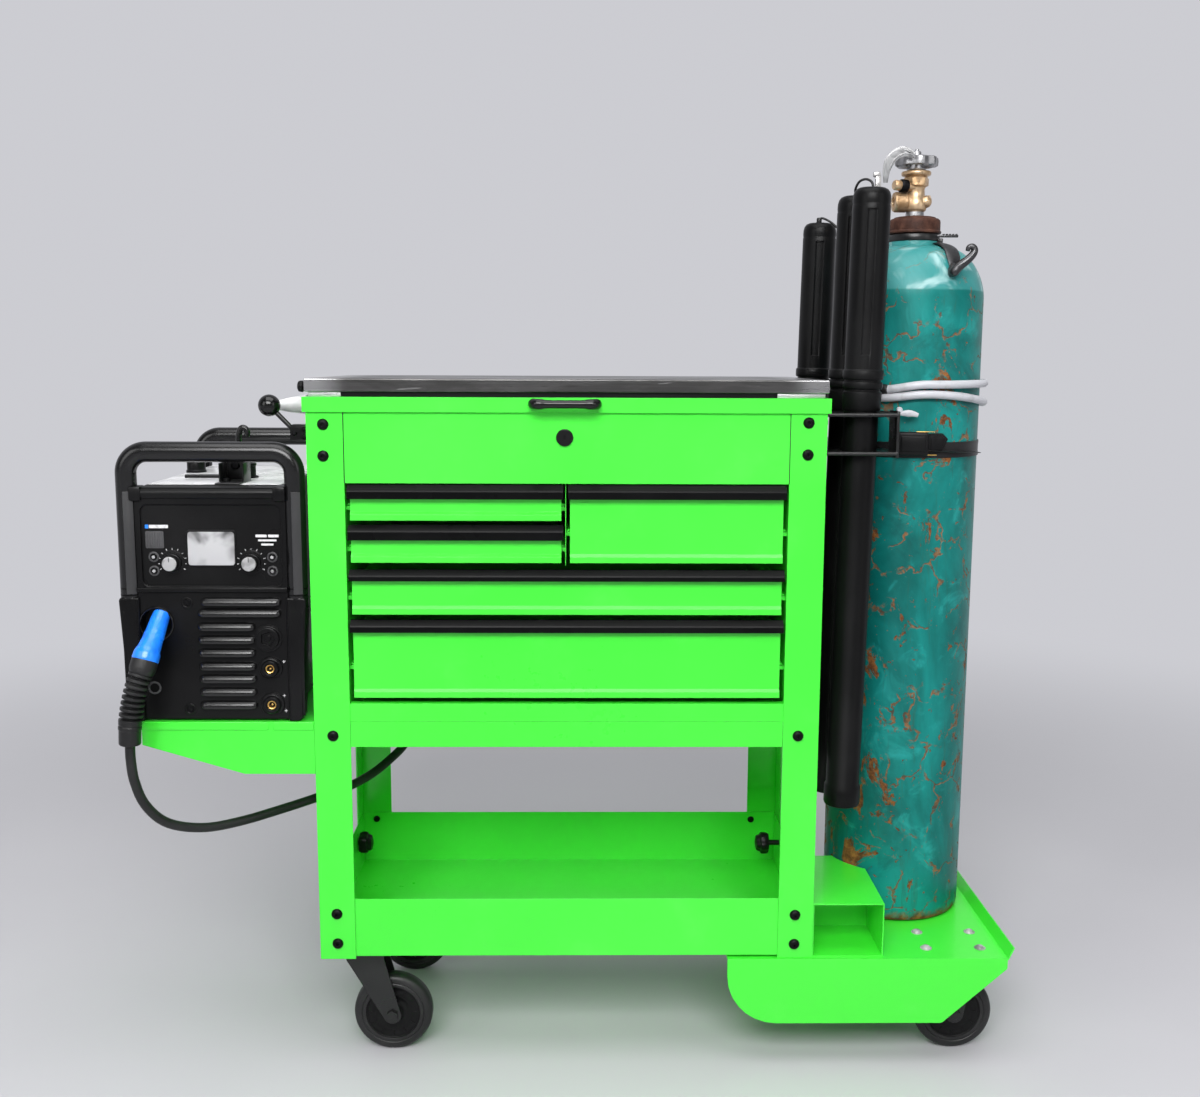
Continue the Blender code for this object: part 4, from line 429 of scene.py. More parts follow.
FINISHES = {
    "green_paint": GREEN, "black_plastic": BLACK, "black_metal": COAT, "black_rubber": TYRE,
    "stainless_steel": STEEL, "teal_paint": TEAL, "brass": BRASS, "grey_vinyl": VINYL,
    "blue_plastic": BLUE, "welder_front": GRAINED}
for entry in frame["record"]["subparts"]:
    finish = GLOSS_BLACK if entry["node"] == "lid_lock" else FINISHES[entry["material_slot"]]
    for held in frame["nodes"][entry["node"]].material_slots:
        held.material = finish


# Shapes

SHARP = radians(38)
AXES = {
    "X": Matrix(((0, 0, 1), (1, 0, 0), (0, 1, 0))).to_4x4(),
    "Y": Matrix(((1, 0, 0), (0, 0, 1), (0, -1, 0))).to_4x4(),
    "-Y": Matrix(((1, 0, 0), (0, 0, -1), (0, 1, 0))).to_4x4(),
    "Z": Matrix.Identity(4),
}


def place(x, y, z, axis="Z"):
    """A matrix that takes the local Z axis to an axis through a point."""
    return Matrix.Translation((x, y, z)) @ AXES[axis]


def aim(start, way):
    return Matrix.Translation(start) @ Vector(way).to_track_quat("Z", "Y").to_matrix().to_4x4()


class Form:
    """One piece of the scene, made of several shapes with their own finishes."""

    def __init__(self):
        self.shape = bmesh.new()

    def face(self, corners, index):
        if len(set(corners)) > 2:
            made = self.shape.faces.new(corners)
            made.material_index = index
            made.smooth = True

    def merge(self, other, index):
        mesh = bpy.data.meshes.new("part")
        other.to_mesh(mesh)
        other.free()
        count = len(self.shape.faces)
        self.shape.from_mesh(mesh)
        bpy.data.meshes.remove(mesh)
        self.shape.faces.ensure_lookup_table()
        for made in self.shape.faces[count:]:
            made.material_index = index
            made.smooth = True

    def lathe(self, profile, where, steps=48, index=0, closed=False, shape=None):
        """A turned shape; shape(angle, height, radius) may change the radius."""
        rows = []
        for radius, height in profile:
            if radius < 1e-7:
                rows.append([self.shape.verts.new(where @ Vector((0, 0, height)))])
                continue
            row = []
            for k in range(steps):
                a = 2 * pi * k / steps
                r = shape(a, height, radius) if shape else radius
                row.append(self.shape.verts.new(where @ Vector((r * cos(a), r * sin(a), height))))
            rows.append(row)
        pairs = list(zip(rows, rows[1:]))
        if closed:
            pairs.append((rows[-1], rows[0]))
        for low, high in pairs:
            for k in range(steps):
                corners = [low[k % len(low)], low[(k + 1) % len(low)],
                           high[(k + 1) % len(high)], high[k % len(high)]]
                self.face(list(dict.fromkeys(corners)), index)

    def tube(self, path, radii, sides=16, index=0, flat=1.0, across=None):
        """A tube along a path; flat squeezes it along the direction across."""
        path = [Vector(p) for p in path]
        if not isinstance(radii, (list, tuple)):
            radii = [radii] * len(path)
        rows = []
        side = None
        for i, point in enumerate(path):
            way = (path[min(i + 1, len(path) - 1)] - path[max(i - 1, 0)]).normalized()
            if side is None:
                side = Vector(across) if across else way.orthogonal()
            side = (side - way * side.dot(way)).normalized()
            other = way.cross(side)
            rows.append([self.shape.verts.new(
                point + (side * cos(a) * flat + other * sin(a)) * radii[i])
                for a in (2 * pi * k / sides for k in range(sides))])
        for low, high in zip(rows, rows[1:]):
            for k in range(sides):
                self.face([low[k], low[(k + 1) % sides], high[(k + 1) % sides], high[k]], index)
        self.face(rows[0][::-1], index)
        self.face(rows[-1], index)

    def box(self, low, high, bevel=0.001, index=0, where=None, segments=2):
        made = bmesh.new()
        size = [b - a for a, b in zip(low, high)]
        middle = [(a + b) / 2 for a, b in zip(low, high)]
        bmesh.ops.create_cube(
            made, size=1.0, matrix=Matrix.Translation(middle) @ Matrix.Diagonal((*size, 1.0)))
        if bevel:
            bmesh.ops.bevel(made, geom=made.edges[:], offset=bevel, segments=segments,
                            profile=0.5, affect="EDGES")
        if where:
            bmesh.ops.transform(made, matrix=where, verts=made.verts[:])
        self.merge(made, index)

    def slab(self, outline, start, end, where, bevel=0.0008, index=0, segments=2, slant=1.0):
        """A flat outline extruded along the local Z axis, its far face scaled by slant."""
        made = bmesh.new()
        base = [made.verts.new((u, v, start)) for u, v in outline]
        middle = Vector((sum(u for u, _ in outline), sum(v for _, v in outline))) / len(outline)
        far = [made.verts.new((middle.x + (u - middle.x) * slant,
                               middle.y + (v - middle.y) * slant, end)) for u, v in outline]
        made.faces.new(base[::-1])
        made.faces.new(far)
        count = len(outline)
        for k in range(count):
            made.faces.new((base[k], base[(k + 1) % count], far[(k + 1) % count], far[k]))
        bmesh.ops.recalc_face_normals(made, faces=made.faces[:])
        if bevel:
            edges = [e for e in made.edges if e.calc_face_angle(0.0) > SHARP]
            bmesh.ops.bevel(made, geom=edges, offset=bevel, segments=segments, profile=0.5,
                            affect="EDGES")
        bmesh.ops.transform(made, matrix=where, verts=made.verts[:])
        self.merge(made, index)

    def done(self, name, finishes, body, slot, replaces=()):
        bmesh.ops.recalc_face_normals(self.shape, faces=self.shape.faces[:])
        bmesh.ops.translate(self.shape, vec=SHIFT, verts=self.shape.verts[:])
        mesh = bpy.data.meshes.new(name)
        self.shape.to_mesh(mesh)
        self.shape.free()
        mesh.set_sharp_from_angle(angle=SHARP)
        for material in finishes:
            mesh.materials.append(material)
        made = new_object(name, mesh)
        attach(made, body)
        if replaces:
            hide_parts(*replaces)


def rounded(points, radii, steps=6, closed=True):
    """Points with their corners turned into arcs, in two or three dimensions."""
    points = [Vector(p) for p in points]
    if not isinstance(radii, (list, tuple)):
        radii = [radii] * len(points)
    out = []
    count = len(points)
    for i, point in enumerate(points):
        if radii[i] <= 0.0 or (not closed and i in (0, count - 1)):
            out.append(point)
            continue
        to_last = (points[i - 1] - point).normalized()
        to_next = (points[(i + 1) % count] - point).normalized()
        half = to_last.angle(to_next) / 2
        back_off = radii[i] / (sin(half) / cos(half))
        centre = point + (to_last + to_next).normalized() * (radii[i] / sin(half))
        first = point + to_last * back_off - centre
        last = point + to_next * back_off - centre
        span = first.angle(last)
        for k in range(steps + 1):
            share = k / steps
            out.append(centre + (
                first * sin((1 - share) * span) + last * sin(share * span)) / sin(span))
    return [tuple(p) for p in out]


def rectangle(left, right_end, low, high, radius, steps=6):
    corners = [(left, low), (right_end, low), (right_end, high), (left, high)]
    return rounded(corners, radius, steps)


def disc(radius, steps):
    """Points of a half circle, for a ball."""
    return [(radius * sin(pi * k / steps) if 0 < k < steps else 0.0, radius * cos(pi * k / steps))
            for k in range(steps + 1)]


def raised(height, *rows):
    """A profile in millimetres, its heights measured from one in metres."""
    return [(radius, height + above) for radius, above in mm(*rows)]


def shifted(seat, x, y, z=0.0):
    return seat @ Matrix.Translation((x, y, z))


def spun(seat, degrees):
    return seat @ Matrix.Rotation(radians(degrees), 4, "Z")


def six_sided(a):
    """What makes a circle's radius a hexagon's."""
    return cos(pi / 6) / cos(a % (pi / 3) - pi / 6)


def smooth_route(points, step):
    """A smooth curve through points, read at even steps."""
    points = [Vector(p) for p in points]
    ends = [points[0] * 2 - points[1], *points, points[-1] * 2 - points[-2]]
    fine = []
    per_span = 12
    for i in range(1, len(ends) - 2):
        a, b, c, d = ends[i - 1:i + 3]
        for k in range(per_span):
            t = k / per_span
            fine.append(0.5 * (
                2 * b + (c - a) * t + (2 * a - 5 * b + 4 * c - d) * t * t
                + (3 * b - a - 3 * c + d) * t ** 3))
    fine.append(points[-1])
    lengths = [0.0]
    for a, b in zip(fine, fine[1:]):
        lengths.append(lengths[-1] + (b - a).length)
    count = max(2, round(lengths[-1] / step))
    out = []
    j = 0
    for k in range(count + 1):
        want = lengths[-1] * k / count
        while j < len(lengths) - 2 and lengths[j + 1] < want:
            j += 1
        share = (want - lengths[j]) / (lengths[j + 1] - lengths[j])
        out.append(tuple(fine[j].lerp(fine[j + 1], min(1.0, share))))
    return out


def length_of(points):
    return sum((Vector(b) - Vector(a)).length for a, b in zip(points, points[1:]))


# Gun lead: the same route as the part's, in one piece from the plug to the gun

LEAD_RADIUS = 0.0075
LEAD_ROUTE = mm((-652.1, -50, 542.5), (-652.1, -50, 520), (-649, -47, 485), (-638, -36, 444),
                (-613, -14, 408), (-570, 22, 387), (-520, 60, 384), (-463, 102, 389.5),
                (-417, 142, 394), (-370, 195, 397), (-340, 238, 404), (-315, 272, 418),
                (-293, 304, 436), (-282.5, 340, 462), (-282, 380, 490), (-290.5, 418, 507.5),
                (-303.5, 455, 513.5), (-319.5, 490, 504), (-336, 517, 478), (-353, 531, 435),
                (-367, 536, 380), (-374.5, 536.5, 320), (-376.5, 536.5, 250), (-374, 536.5, 175),
                (-362, 536.5, 108), (-337, 536.5, 56), (-296, 536.5, 22), (-248, 536.5, 9.5),
                (-190, 536.5, 7.8), (-125, 536.5, 7.8), (-65, 536.5, 7.8))
COIL_CENTRE = (-0.05, 0.635)
COIL_RADIUS = 0.0985
COIL_PITCH = 0.0158
COIL_LAYER = 0.0156
COIL_TURNS = 3.0
COIL_START_X = -0.0647
FLOOR_LEVEL = 0.0078
GUN_X = 0.1
GUN_Z = 0.0165


def coil_line(per_turn):
    points = [(COIL_START_X, COIL_CENTRE[1] - COIL_RADIUS, FLOOR_LEVEL)]
    for k in range(int(COIL_TURNS * per_turn) + 1):
        t = k / per_turn
        radius = COIL_RADIUS - COIL_PITCH * min(t, COIL_TURNS - t)
        climb = min(1.0, max(0.0, (t - COIL_TURNS / 2 + 0.25) / 0.5))
        a = -pi / 2 + 2 * pi * t
        points.append((COIL_CENTRE[0] + radius * cos(a), COIL_CENTRE[1] + radius * sin(a),
                       FLOOR_LEVEL + COIL_LAYER * climb))
    x, y, z = points[-1]
    tail = [(0.03, z), (0.06, z - 0.0012), (0.09, z - 0.004), (0.118, GUN_Z), (0.15, GUN_Z),
            (0.23, GUN_Z), (0.311, GUN_Z)]
    return points + [(x + onward, y, high) for onward, high in tail]


lead_points = smooth_route(LEAD_ROUTE, 0.009)
lead_points += smooth_route(coil_line(24), 0.009)[1:]
lead_shape = bpy.data.curves.new("lead", "CURVE")
lead_shape.dimensions = "3D"
lead_shape.bevel_depth = LEAD_RADIUS
lead_shape.bevel_resolution = 4
lead_shape.use_fill_caps = True
lead_spline = lead_shape.splines.new("POLY")
lead_spline.points.add(len(lead_points) - 1)
for node, point in zip(lead_spline.points, lead_points):
    node.co = (*(Vector(point) + SHIFT), 1.0)
lead_spline.use_smooth = True
lead_shape.materials.append(RUBBER)
lead = new_object("lead", lead_shape)
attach(lead, "cart")
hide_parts("gun_lead", "lead_coil")

# Plug: a blue body, a black collar, the ribbed relief and the sleeve on the lead

PLUG_ROUTE = mm((-615, 8.5, 730), (-617, -1, 720), (-619.5, -10.5, 706.5), (-622.8, -22, 691.7),
                (-627, -31, 676.5), (-632.2, -39, 655.9), (-638.2, -44, 635.9),
                (-643.5, -47, 615.6), (-648, -49, 592.1), (-650.6, -50, 570), (-652.1, -50, 543))


def along(line, radius_at):
    """The radii along a line, from a table of (percent of the line, millimetres)."""
    table = [(round(share / 100, 7), round(radius / 1000, 7)) for share, radius in radius_at]
    count = len(line) - 1
    radii = []
    for i in range(count + 1):
        share = i / count
        for (s0, r0), (s1, r1) in zip(table, table[1:]):
            if share <= s1 + 1e-9:
                radii.append(r0 + (r1 - r0) * (share - s0) / max(1e-9, s1 - s0))
                break
    return radii


def stretch(line, start, end, step):
    """The part of a line between two shares of its length, read finely."""
    fine_step = 0.0005
    fine = smooth_route(line, fine_step)
    cut = fine[round(start * (len(fine) - 1)):round(end * (len(fine) - 1)) + 1]
    every = max(1, round(step / fine_step))
    out = cut[::every]
    if out[-1] != cut[-1]:
        out.append(cut[-1])
    return out


plug = Form()
blue = stretch(PLUG_ROUTE, 0.0, 0.375, 0.001)
plug.tube(blue, along(blue, [(0, 12.8), (12, 13.4), (44, 14.8), (46, 15.3), (50, 15.5), (53, 15.2),
                             (70, 16.6), (76, 17.2), (82, 19), (86, 19.6), (97, 19.9), (100, 19)]),
          44)
neck = stretch(PLUG_ROUTE, 0.368, 0.475, 0.001)
plug.tube(neck, along(neck, [(0, 18.6), (8, 19.6), (60, 19.6), (85, 18.6), (100, 16.6)]), 44, 1)
core = stretch(PLUG_ROUTE, 0.46, 0.85, 0.002)
plug.tube(core, 0.0112, 28, 1)
ribbed = stretch(PLUG_ROUTE, 0.465, 0.84, 0.0006)
ribs = []
RIBS = 9
for i in range(len(ribbed)):
    share = i / (len(ribbed) - 1)
    wave = 0.5 + 0.5 * cos(2 * pi * (share * RIBS - 0.5))
    ribs.append(0.0116 + 0.0058 * min(1.0, 1.6 * wave) ** 0.9)
plug.tube(ribbed, ribs, 40, 1)
sleeve = stretch(PLUG_ROUTE, 0.822, 1.0, 0.001)
plug.tube(sleeve, along(sleeve, [(0, 15), (3, 17), (14, 17.2), (16, 16.4), (20, 16.4), (22, 17.2),
                                 (34, 17.2), (36, 16.3), (92, 16.1), (97, 15.5), (100, 12.5)]),
          40, 1)
plug.done("plug", [BLUE, RUBBER], "cart", "blue_plastic", ["gun_plug"])

# Gun, lying on the floor behind the tray

gun_y = COIL_CENTRE[1] - COIL_RADIUS


def gun_line(step, *spots):
    """A smooth route at the gun's height, from places along its axis and beside it."""
    return smooth_route([(GUN_X + u, gun_y + v, GUN_Z) for u, v in mm(*spots)], step)


handle = Form()
handle_line = gun_line(0.002, (0, 0), (50, 0), (110, 0), (166, 0))
handle.tube(handle_line, along(handle_line, [
    (0, 9.8), (3, 13), (7, 13.5), (20, 15), (45, 15.5), (66, 14.5), (84, 15), (93, 13.5),
    (96, 8.5), (100, 7.8)]), 32)
for k in range(7):
    x = GUN_X + 0.034 + 0.007 * k
    handle.lathe(mm((14.8, -1.2), (15.8, -0.6), (15.8, 0.6), (14.8, 1.2)),
                 place(x, gun_y, GUN_Z + 0.0002, "X"), 32, closed=True,
                 shape=lambda a, h, r: r - 0.001 * (1 + cos(a)))
swan = gun_line(0.002, (150, 0), (200, 0), (220, 6), (236, 18), (246, 32), (251, 42))
handle.tube(swan, 0.0072, 24, 1)
nozzle = gun_line(0.001, (249, 38), (268, 74), (272, 82))
handle.tube(nozzle, along(nozzle, [(0, 8.5), (6, 9.6), (70, 9.6), (82, 8.4), (100, 8)]), 28, 2)
handle.done("gun_body", [GRAINED, BLACK, GOLD], "cart", "black_plastic", ["gun"])
tuple(at(*LEAD_ROUTE[0]))
round(length_of(lead_points), 3)


# Cabinet: fastenings, pulls and handle

def hexagon(socket, start):
    """Makes the rings inside a radius hexagons, for the socket in a bolt's head."""
    def shape(a, height, radius):
        if radius > socket:
            return radius
        return radius * six_sided(a + start)
    return shape


def bolt(form, where, radius=0.0085, height=0.0052):
    """A button-head bolt with a hexagon socket, turned differently from place to place."""
    socket = 0.36 * radius
    turned = (where.translation.x * 977.0) % 1.0
    form.lathe(
        [(0.0, 0.45 * height), (socket * 0.98, 0.45 * height), (socket, height * 0.97),
         (0.5 * radius, height), (0.74 * radius, 0.86 * height), (0.92 * radius, 0.52 * height),
         (radius, 0.16 * height), (radius, -0.0002), (0.0, -0.0002)],
        where, 30, shape=hexagon(socket * 1.02, turned))


BACK_FACE = 0.3998
SIDE_FACE = 0.3873
LEG_BOLTS = mm((-362.3, 1018.4), (-363.1, 971.6), (-359.4, 541.8), (-360.5, 253.7),
               (-360.2, 204.8), (359.6, 1023), (359.4, 975.3), (355.9, 541.8), (358.8, 250.7),
               (358.5, 202.3))
bolts = Form()
for x, z in LEG_BOLTS:
    bolt(bolts, place(x, 0.0002, z, "-Y"))
    bolt(bolts, place(x, BACK_FACE, z, "Y"))
    side = 1 if x > 0 else -1
    for y in (0.027, 0.373):
        if side < 0 and 0.52 < z < 1.0:
            continue
        bolt(bolts, aim((side * SIDE_FACE, y, z), (side, 0, 0)))
bolts.done("leg_bolts", [BOLT_BLACK], "cart", "black_metal")

# Black strips in the gaps between the fronts and the frame: painted shade where the gaps fall
# dark.
painted_gap_shade = Form()
painted_gap_shade.box((-0.33, 0.0022, 0.5622), (0.327, 0.0042, 0.5633), 0.0)
for x in (-0.33265, 0.33265):
    painted_gap_shade.box((x - 0.0006, -0.0001, 0.9312), (x + 0.0006, 0.0012, 1.0362), 0.0)
painted_gap_shade.done("painted_gap_shade", [RUBBER], "cart", "black_rubber")
# A black strip in the gap under the worktop: painted shade, where the gap only falls dark.
worktop_gap_shade = Form()
worktop_gap_shade.box((-0.335, 0.004, 1.0594), (0.312, 0.0054, 1.0661), 0.0)
worktop_gap_shade.done("lid_gap_shade", [GLOSS_BLACK], "lid", "black_plastic")
ends = Form()
for left, right_end in ((-0.3836, -0.3352), (0.3122, 0.3836)):
    ends.box((left, 0.003, 1.0592), (right_end, 0.005, 1.0664), 0.0004)
ends.lathe(mm((0, 10), (5, 9.6), (7.8, 8), (8.6, 5.5), (8.6, 2), (6, 0.8), (6, -2), (0, -2)),
           aim((-0.3905, 0.012, 1.074), (-1, 0, 0)), 32, 1)
ends.done("worktop_ends", [EDGE, BLACK], "lid", "stainless_steel")

band = Form()
for left, right_end in ((-0.6495, -0.4575), (-0.45, -0.3885)):
    band.slab(rectangle(left, right_end, 0.551, 0.5638, 0.0028), -0.0003, 0.0013, AXES["-Y"],
              0.0009, 0, 3)
band.done("shelf_band", [GREEN], "cart", "green_paint")

small = Form()
for x, z in ((-0.36, 0.2642), (0.3396, 0.2626)):
    bolt(small, place(x, 0.395, z, "-Y"), 0.006, 0.0036)
for x in (-0.3, -0.1, 0.1, 0.3):
    for z in (0.6, 0.79, 0.985):
        bolt(small, place(x, BACK_FACE, z, "Y"), 0.004, 0.0022)
small.lathe(mm((0, 10), (5, 10), (6.2, 9), (6.2, 2), (8.5, 2), (8.5, -0.2), (0, -0.2)),
            place(0.3796, 0.012, 0.17, "-Y"), 24)
small.box((0.3768, 0.0005, 0.16), (0.3824, 0.006, 0.1795), 0.001)
small.done("small_bolts", [BOLT_BLACK], "cart", "black_metal")

PULLS = {
    # name: left, right, top, bottom of the pull
    "upper_left": (-0.3285, -0.006, 0.9295, 0.908),
    "lower_left": (-0.3285, -0.006, 0.869, 0.846),
    "upper_right": (0.001, 0.3285, 0.9295, 0.908),
    "middle": (-0.3285, 0.3285, 0.801, 0.784),
    "bottom": (-0.3285, 0.3285, 0.724, 0.705),
}
for name, (left, right_end, top, bottom) in PULLS.items():
    face = 0.004 - GAP
    far = face - 0.0125
    outline = rounded(
        [(face, bottom + 0.004), (face, top - 0.0004), (face - 0.0034, top - 0.0004),
         (far + 0.0012, top - 0.0078), (far, top - 0.0105), (far, bottom), (far + 0.0018, bottom),
         (far + 0.002, top - 0.01), (face - 0.004, top - 0.0032), (face - 0.0018, top - 0.0042),
         (face - 0.0018, bottom + 0.004)],
        [0.0, 0.0008, 0.0022, 0.0016, 0.0016, 0.0008, 0.0008, 0.0006, 0.0006, 0.0005, 0.0], 4)
    pull = Form()
    pull.slab(outline, left, right_end, AXES["X"], 0.0)
    for end in (left, right_end):
        inner = 0.0026 if end == left else -0.0026
        ends = sorted((end, end + inner))
        cap = rounded([(face - 0.0001, bottom + 0.005), (face - 0.0001, top - 0.0006),
                       (face - 0.0034, top - 0.0006), (far + 0.0014, top - 0.008),
                       (far + 0.0003, top - 0.0105), (far + 0.0003, bottom + 0.0006),
                       (far + 0.006, bottom + 0.0006)],
                      [0.0, 0.0008, 0.002, 0.0014, 0.0014, 0.002, 0.003], 4)
        pull.slab(cap, *ends, AXES["X"], 0.0004)
    pull.done(f"pull_{name}", [PULL_BLACK], f"{name}_drawer", "black_plastic", [f"{name}_pull"])

handle = Form()
high = 1.05
front_y = -0.0245
bar = rounded([(-0.05, -0.0048, high), (-0.05, front_y, high), (0.043, front_y, high),
               (0.043, -0.0048, high)], [0.0, 0.0105, 0.0105, 0.0], 10, closed=False)
bar = smooth_route(bar, 0.0015)
handle.tube(bar, along(bar, [(0, 5.8), (1.2, 7.2), (3.5, 8), (10, 7.8), (20, 7.9), (25, 7.7),
                             (29, 6.6), (33, 6.2), (67, 6.2), (71, 6.6), (75, 7.7), (80, 7.9),
                             (90, 7.8), (96.5, 8), (98.8, 7.2), (100, 5.8)]), 32)
handle.done("lid_handle_bar", [GLOSS_BLACK], "lid", "black_plastic", ["lid_handle"])

# Tray: black hand knobs on the inner side walls

knobs = Form()
for side, reach in ((-1, 0.0265), (1, 0.044)):
    low = reach - 0.024
    knobs.lathe(raised(reach, (0, 0), (6, -0.4), (12, -2), (14, -5), (15, -8.5), (18.2, -10.5),
                       (19, -14))
                + raised(low, (18.8, 4), (17, 0), (6, -0.4), (4.8, -1))
                + mm((4.8, -0.3), (0, -0.3)), aim((side * 0.383, 0.33, 0.2425), (-side, 0, 0)), 70,
                shape=lambda a, h, r: r * (1 + 0.07 * cos(5 * a + 0.4)) if r > 0.011 else r)
knobs.done("tray_knobs", [BLACK], "cart", "black_plastic")

# Ball lever

lever = Form()
ball_x, ball_z = -0.4475, 1.045
lever.lathe(disc(0.0165, 24), place(ball_x, 0.03, ball_z), 48)
lever.tube([(ball_x, 0.03, ball_z), (-0.408, 0.03, 1.004)], [0.004, 0.0034], 24, 1)
lever.lathe(mm((0, -3.8), (4.6, -3.8), (5, -3), (5, 3), (4.6, 3.8), (0, 3.8)),
            place(-0.408, 0.03, 1.004, "-Y"), 28, 1)
lever.done("lever_ball", [GLOSS_BLACK, COAT], "lever", "black_plastic", ["ball_lever"])

# Bracket of the lever

cover = Form()
for y in (0.0172, 0.0439):
    cover.box((-0.4147, y, 0.9943), (-0.388, y + 0.0009, 1.0167), 0.0004)
cover.box((-0.4147, 0.0172, 0.9943), (-0.388, 0.0448, 0.9951), 0.0003)
for low, high in ((0.0172, 0.0257), (0.0343, 0.0448)):
    cover.box((-0.4147, low, 1.0158), (-0.388, high, 1.0167), 0.0003)
    cover.box((-0.4147, low, 0.9943), (-0.4139, high, 1.0167), 0.0003)
cover.box((-0.4004, 0.025, 1.0158), (-0.388, 0.035, 1.0167), 0.0)
for x, z in mm((-408, 1004), (-394, 1010.5), (-394, 999)):
    cover.lathe(mm((0, 2.2), (2.4, 2), (3.4, 1), (3.6, -0.4), (0, -0.4)),
                place(x, 0.0173, z, "-Y"), 24, 1)
cover.done("lever_bracket_cover", [BLACK, BOLT_BLACK], "cart", "black_metal")

# Stop beside the ball, on the lid's side

stop = Form()
stop_axis = aim((-0.4475, 0.066, 1.044), (1, 0, 0.03))
stop.lathe(mm((0, 4), (7.8, 4), (8.8, 10), (11.6, 26), (14.8, 50), (0, 50)), stop_axis, 40, 1)
stop.lathe(mm((0, 49), (13.4, 49), (14, 49.7), (14, 55.8), (0, 55.8)), stop_axis, 40)
stop.done("lever_stop", [BLACK, PALE_STOP], "lid", "black_plastic")

# Casters

TREAD = 0.0635
HUB_RADIUS = 0.0428
side_line = mm(
    (6.3, 16), (10.5, 16), (15, 15.2), (16.5, 11.8), (18.5, 10.5), (25.5, 9.8), (27.5, 11),
    (30, 11), (32, 9.6), (40, 9.8), (42.8, 11.2), (44, 14.2), (46.2, 15), (49, 14.6), (50, 13.6),
    (51.2, 14.6), (56, 14.2), (60, 12.4), (62.4, 9.5), (63.5, 5.2))
WHEELS = {
    "swivel_wheel_front": (-0.283, 0.06, "wheel_swivel_front"),
    "swivel_wheel_rear": (-0.283, 0.335, "wheel_swivel_rear"),
    "rigid_wheel_front": (0.6295, 0.058, "wheel_rigid_front"),
    "rigid_wheel_rear": (0.6295, 0.345, "wheel_rigid_rear"),
}
for name, (x, y, body) in WHEELS.items():
    made = Form()
    profile = side_line + [(r, -h) for r, h in reversed(side_line)]
    made.lathe(profile, place(x, y, TREAD, "-Y"), 96, closed=True)
    for k in range(12):
        a = 2 * pi * k / 12
        for face in (1, -1):
            spot = place(x + 0.0355 * cos(a), y + face * 0.0098, TREAD + 0.0355 * sin(a))
            made.box((-0.0042, -0.0008, -0.0007), (0.0042, 0.0008, 0.0007), 0.0003, 1,
                     spot @ Matrix.Rotation(-a, 4, "Y"))
    for face in made.shape.faces:
        centre = face.calc_center_median()
        if Vector((centre.x - x, centre.z - TREAD)).length < HUB_RADIUS:
            face.material_index = 1
    made.done(f"{name}_tyre", [TYRE, BLACK], body, "black_rubber", [name])

# Gas cylinder

AXIS_X, AXIS_Y = 0.567, 0.245
CYLINDER = place(AXIS_X, AXIS_Y, 0.0)
RADIUS = 0.115
FOOT = 0.179
SHOULDER = 1.216
DOME = 0.084
NECK_RADIUS = 0.036


def shoulder(a, lift=0.0):
    """Radius and height of the domed shoulder, by an angle that grows towards the neck."""
    return (NECK_RADIUS + (RADIUS - NECK_RADIUS) * max(0.0, cos(a)) ** 0.8 + lift,
            SHOULDER + DOME * sin(a) ** 1.15 + lift)


def round_cylinder(reach, a, z):
    return (AXIS_X + reach * cos(a), AXIS_Y + reach * sin(a), z)


profile = [(0.0, FOOT + 0.016), (0.05, FOOT + 0.012), (0.06, FOOT + 0.0003),
           (RADIUS - 0.01, FOOT), (RADIUS - 0.003, FOOT + 0.003), (RADIUS - 0.0005, FOOT + 0.01)]
profile += [(RADIUS, FOOT + 0.02 + k * (SHOULDER - FOOT - 0.02) / 14) for k in range(15)]
profile += [shoulder(pi / 2 * k / 20) for k in range(1, 21)]
tank = Form()
tank.lathe(profile + [(0.0, 1.3)], CYLINDER, 128)
tank.lathe(mm((36.2, 1293), (40, 1293.2), (40.4, 1294.5), (40.4, 1307), (39.8, 1308.2),
              (36.2, 1308.2)), CYLINDER, 72)
tank.lathe(mm((40, 1294.2), (41.1, 1294.6), (41.1, 1296.4), (40, 1296.8)), CYLINDER, 72, 1,
           closed=True)
tank.lathe(mm((36.2, 1308), (40.8, 1308.2), (41.4, 1309.6), (41.4, 1318), (40.6, 1319.2),
              (36.2, 1319.2)), CYLINDER, 72, 1)
tank.lathe(mm((0, 1299), (36.2, 1299), (36.2, 1320.5), (42.8, 1321), (43.4, 1322.2),
              (43.4, 1323.8), (42.4, 1325.2), (41.4, 1325.8), (41.4, 1339.2), (40.6, 1342.4),
              (38.2, 1344.6), (34, 1345.4), (33.4, 1347), (30, 1347.8), (24, 1347.4), (24, 1344),
              (0, 1344)), CYLINDER, 90, 2,
           shape=lambda a, h, r:
           r * (1 + 0.01 * cos(5 * a + 1.0)) if h > 1.3256 and r > 0.03 else r)
tank.box((-0.004, -0.0475, 1.301), (0.004, -0.038, 1.3125), 0.0008, 1, spun(CYLINDER, 60))
tank.done("cylinder_tank", [TEAL, COAT, COLLAR], "cart", "teal_paint", ["gas_cylinder"])

# Hook beside the neck

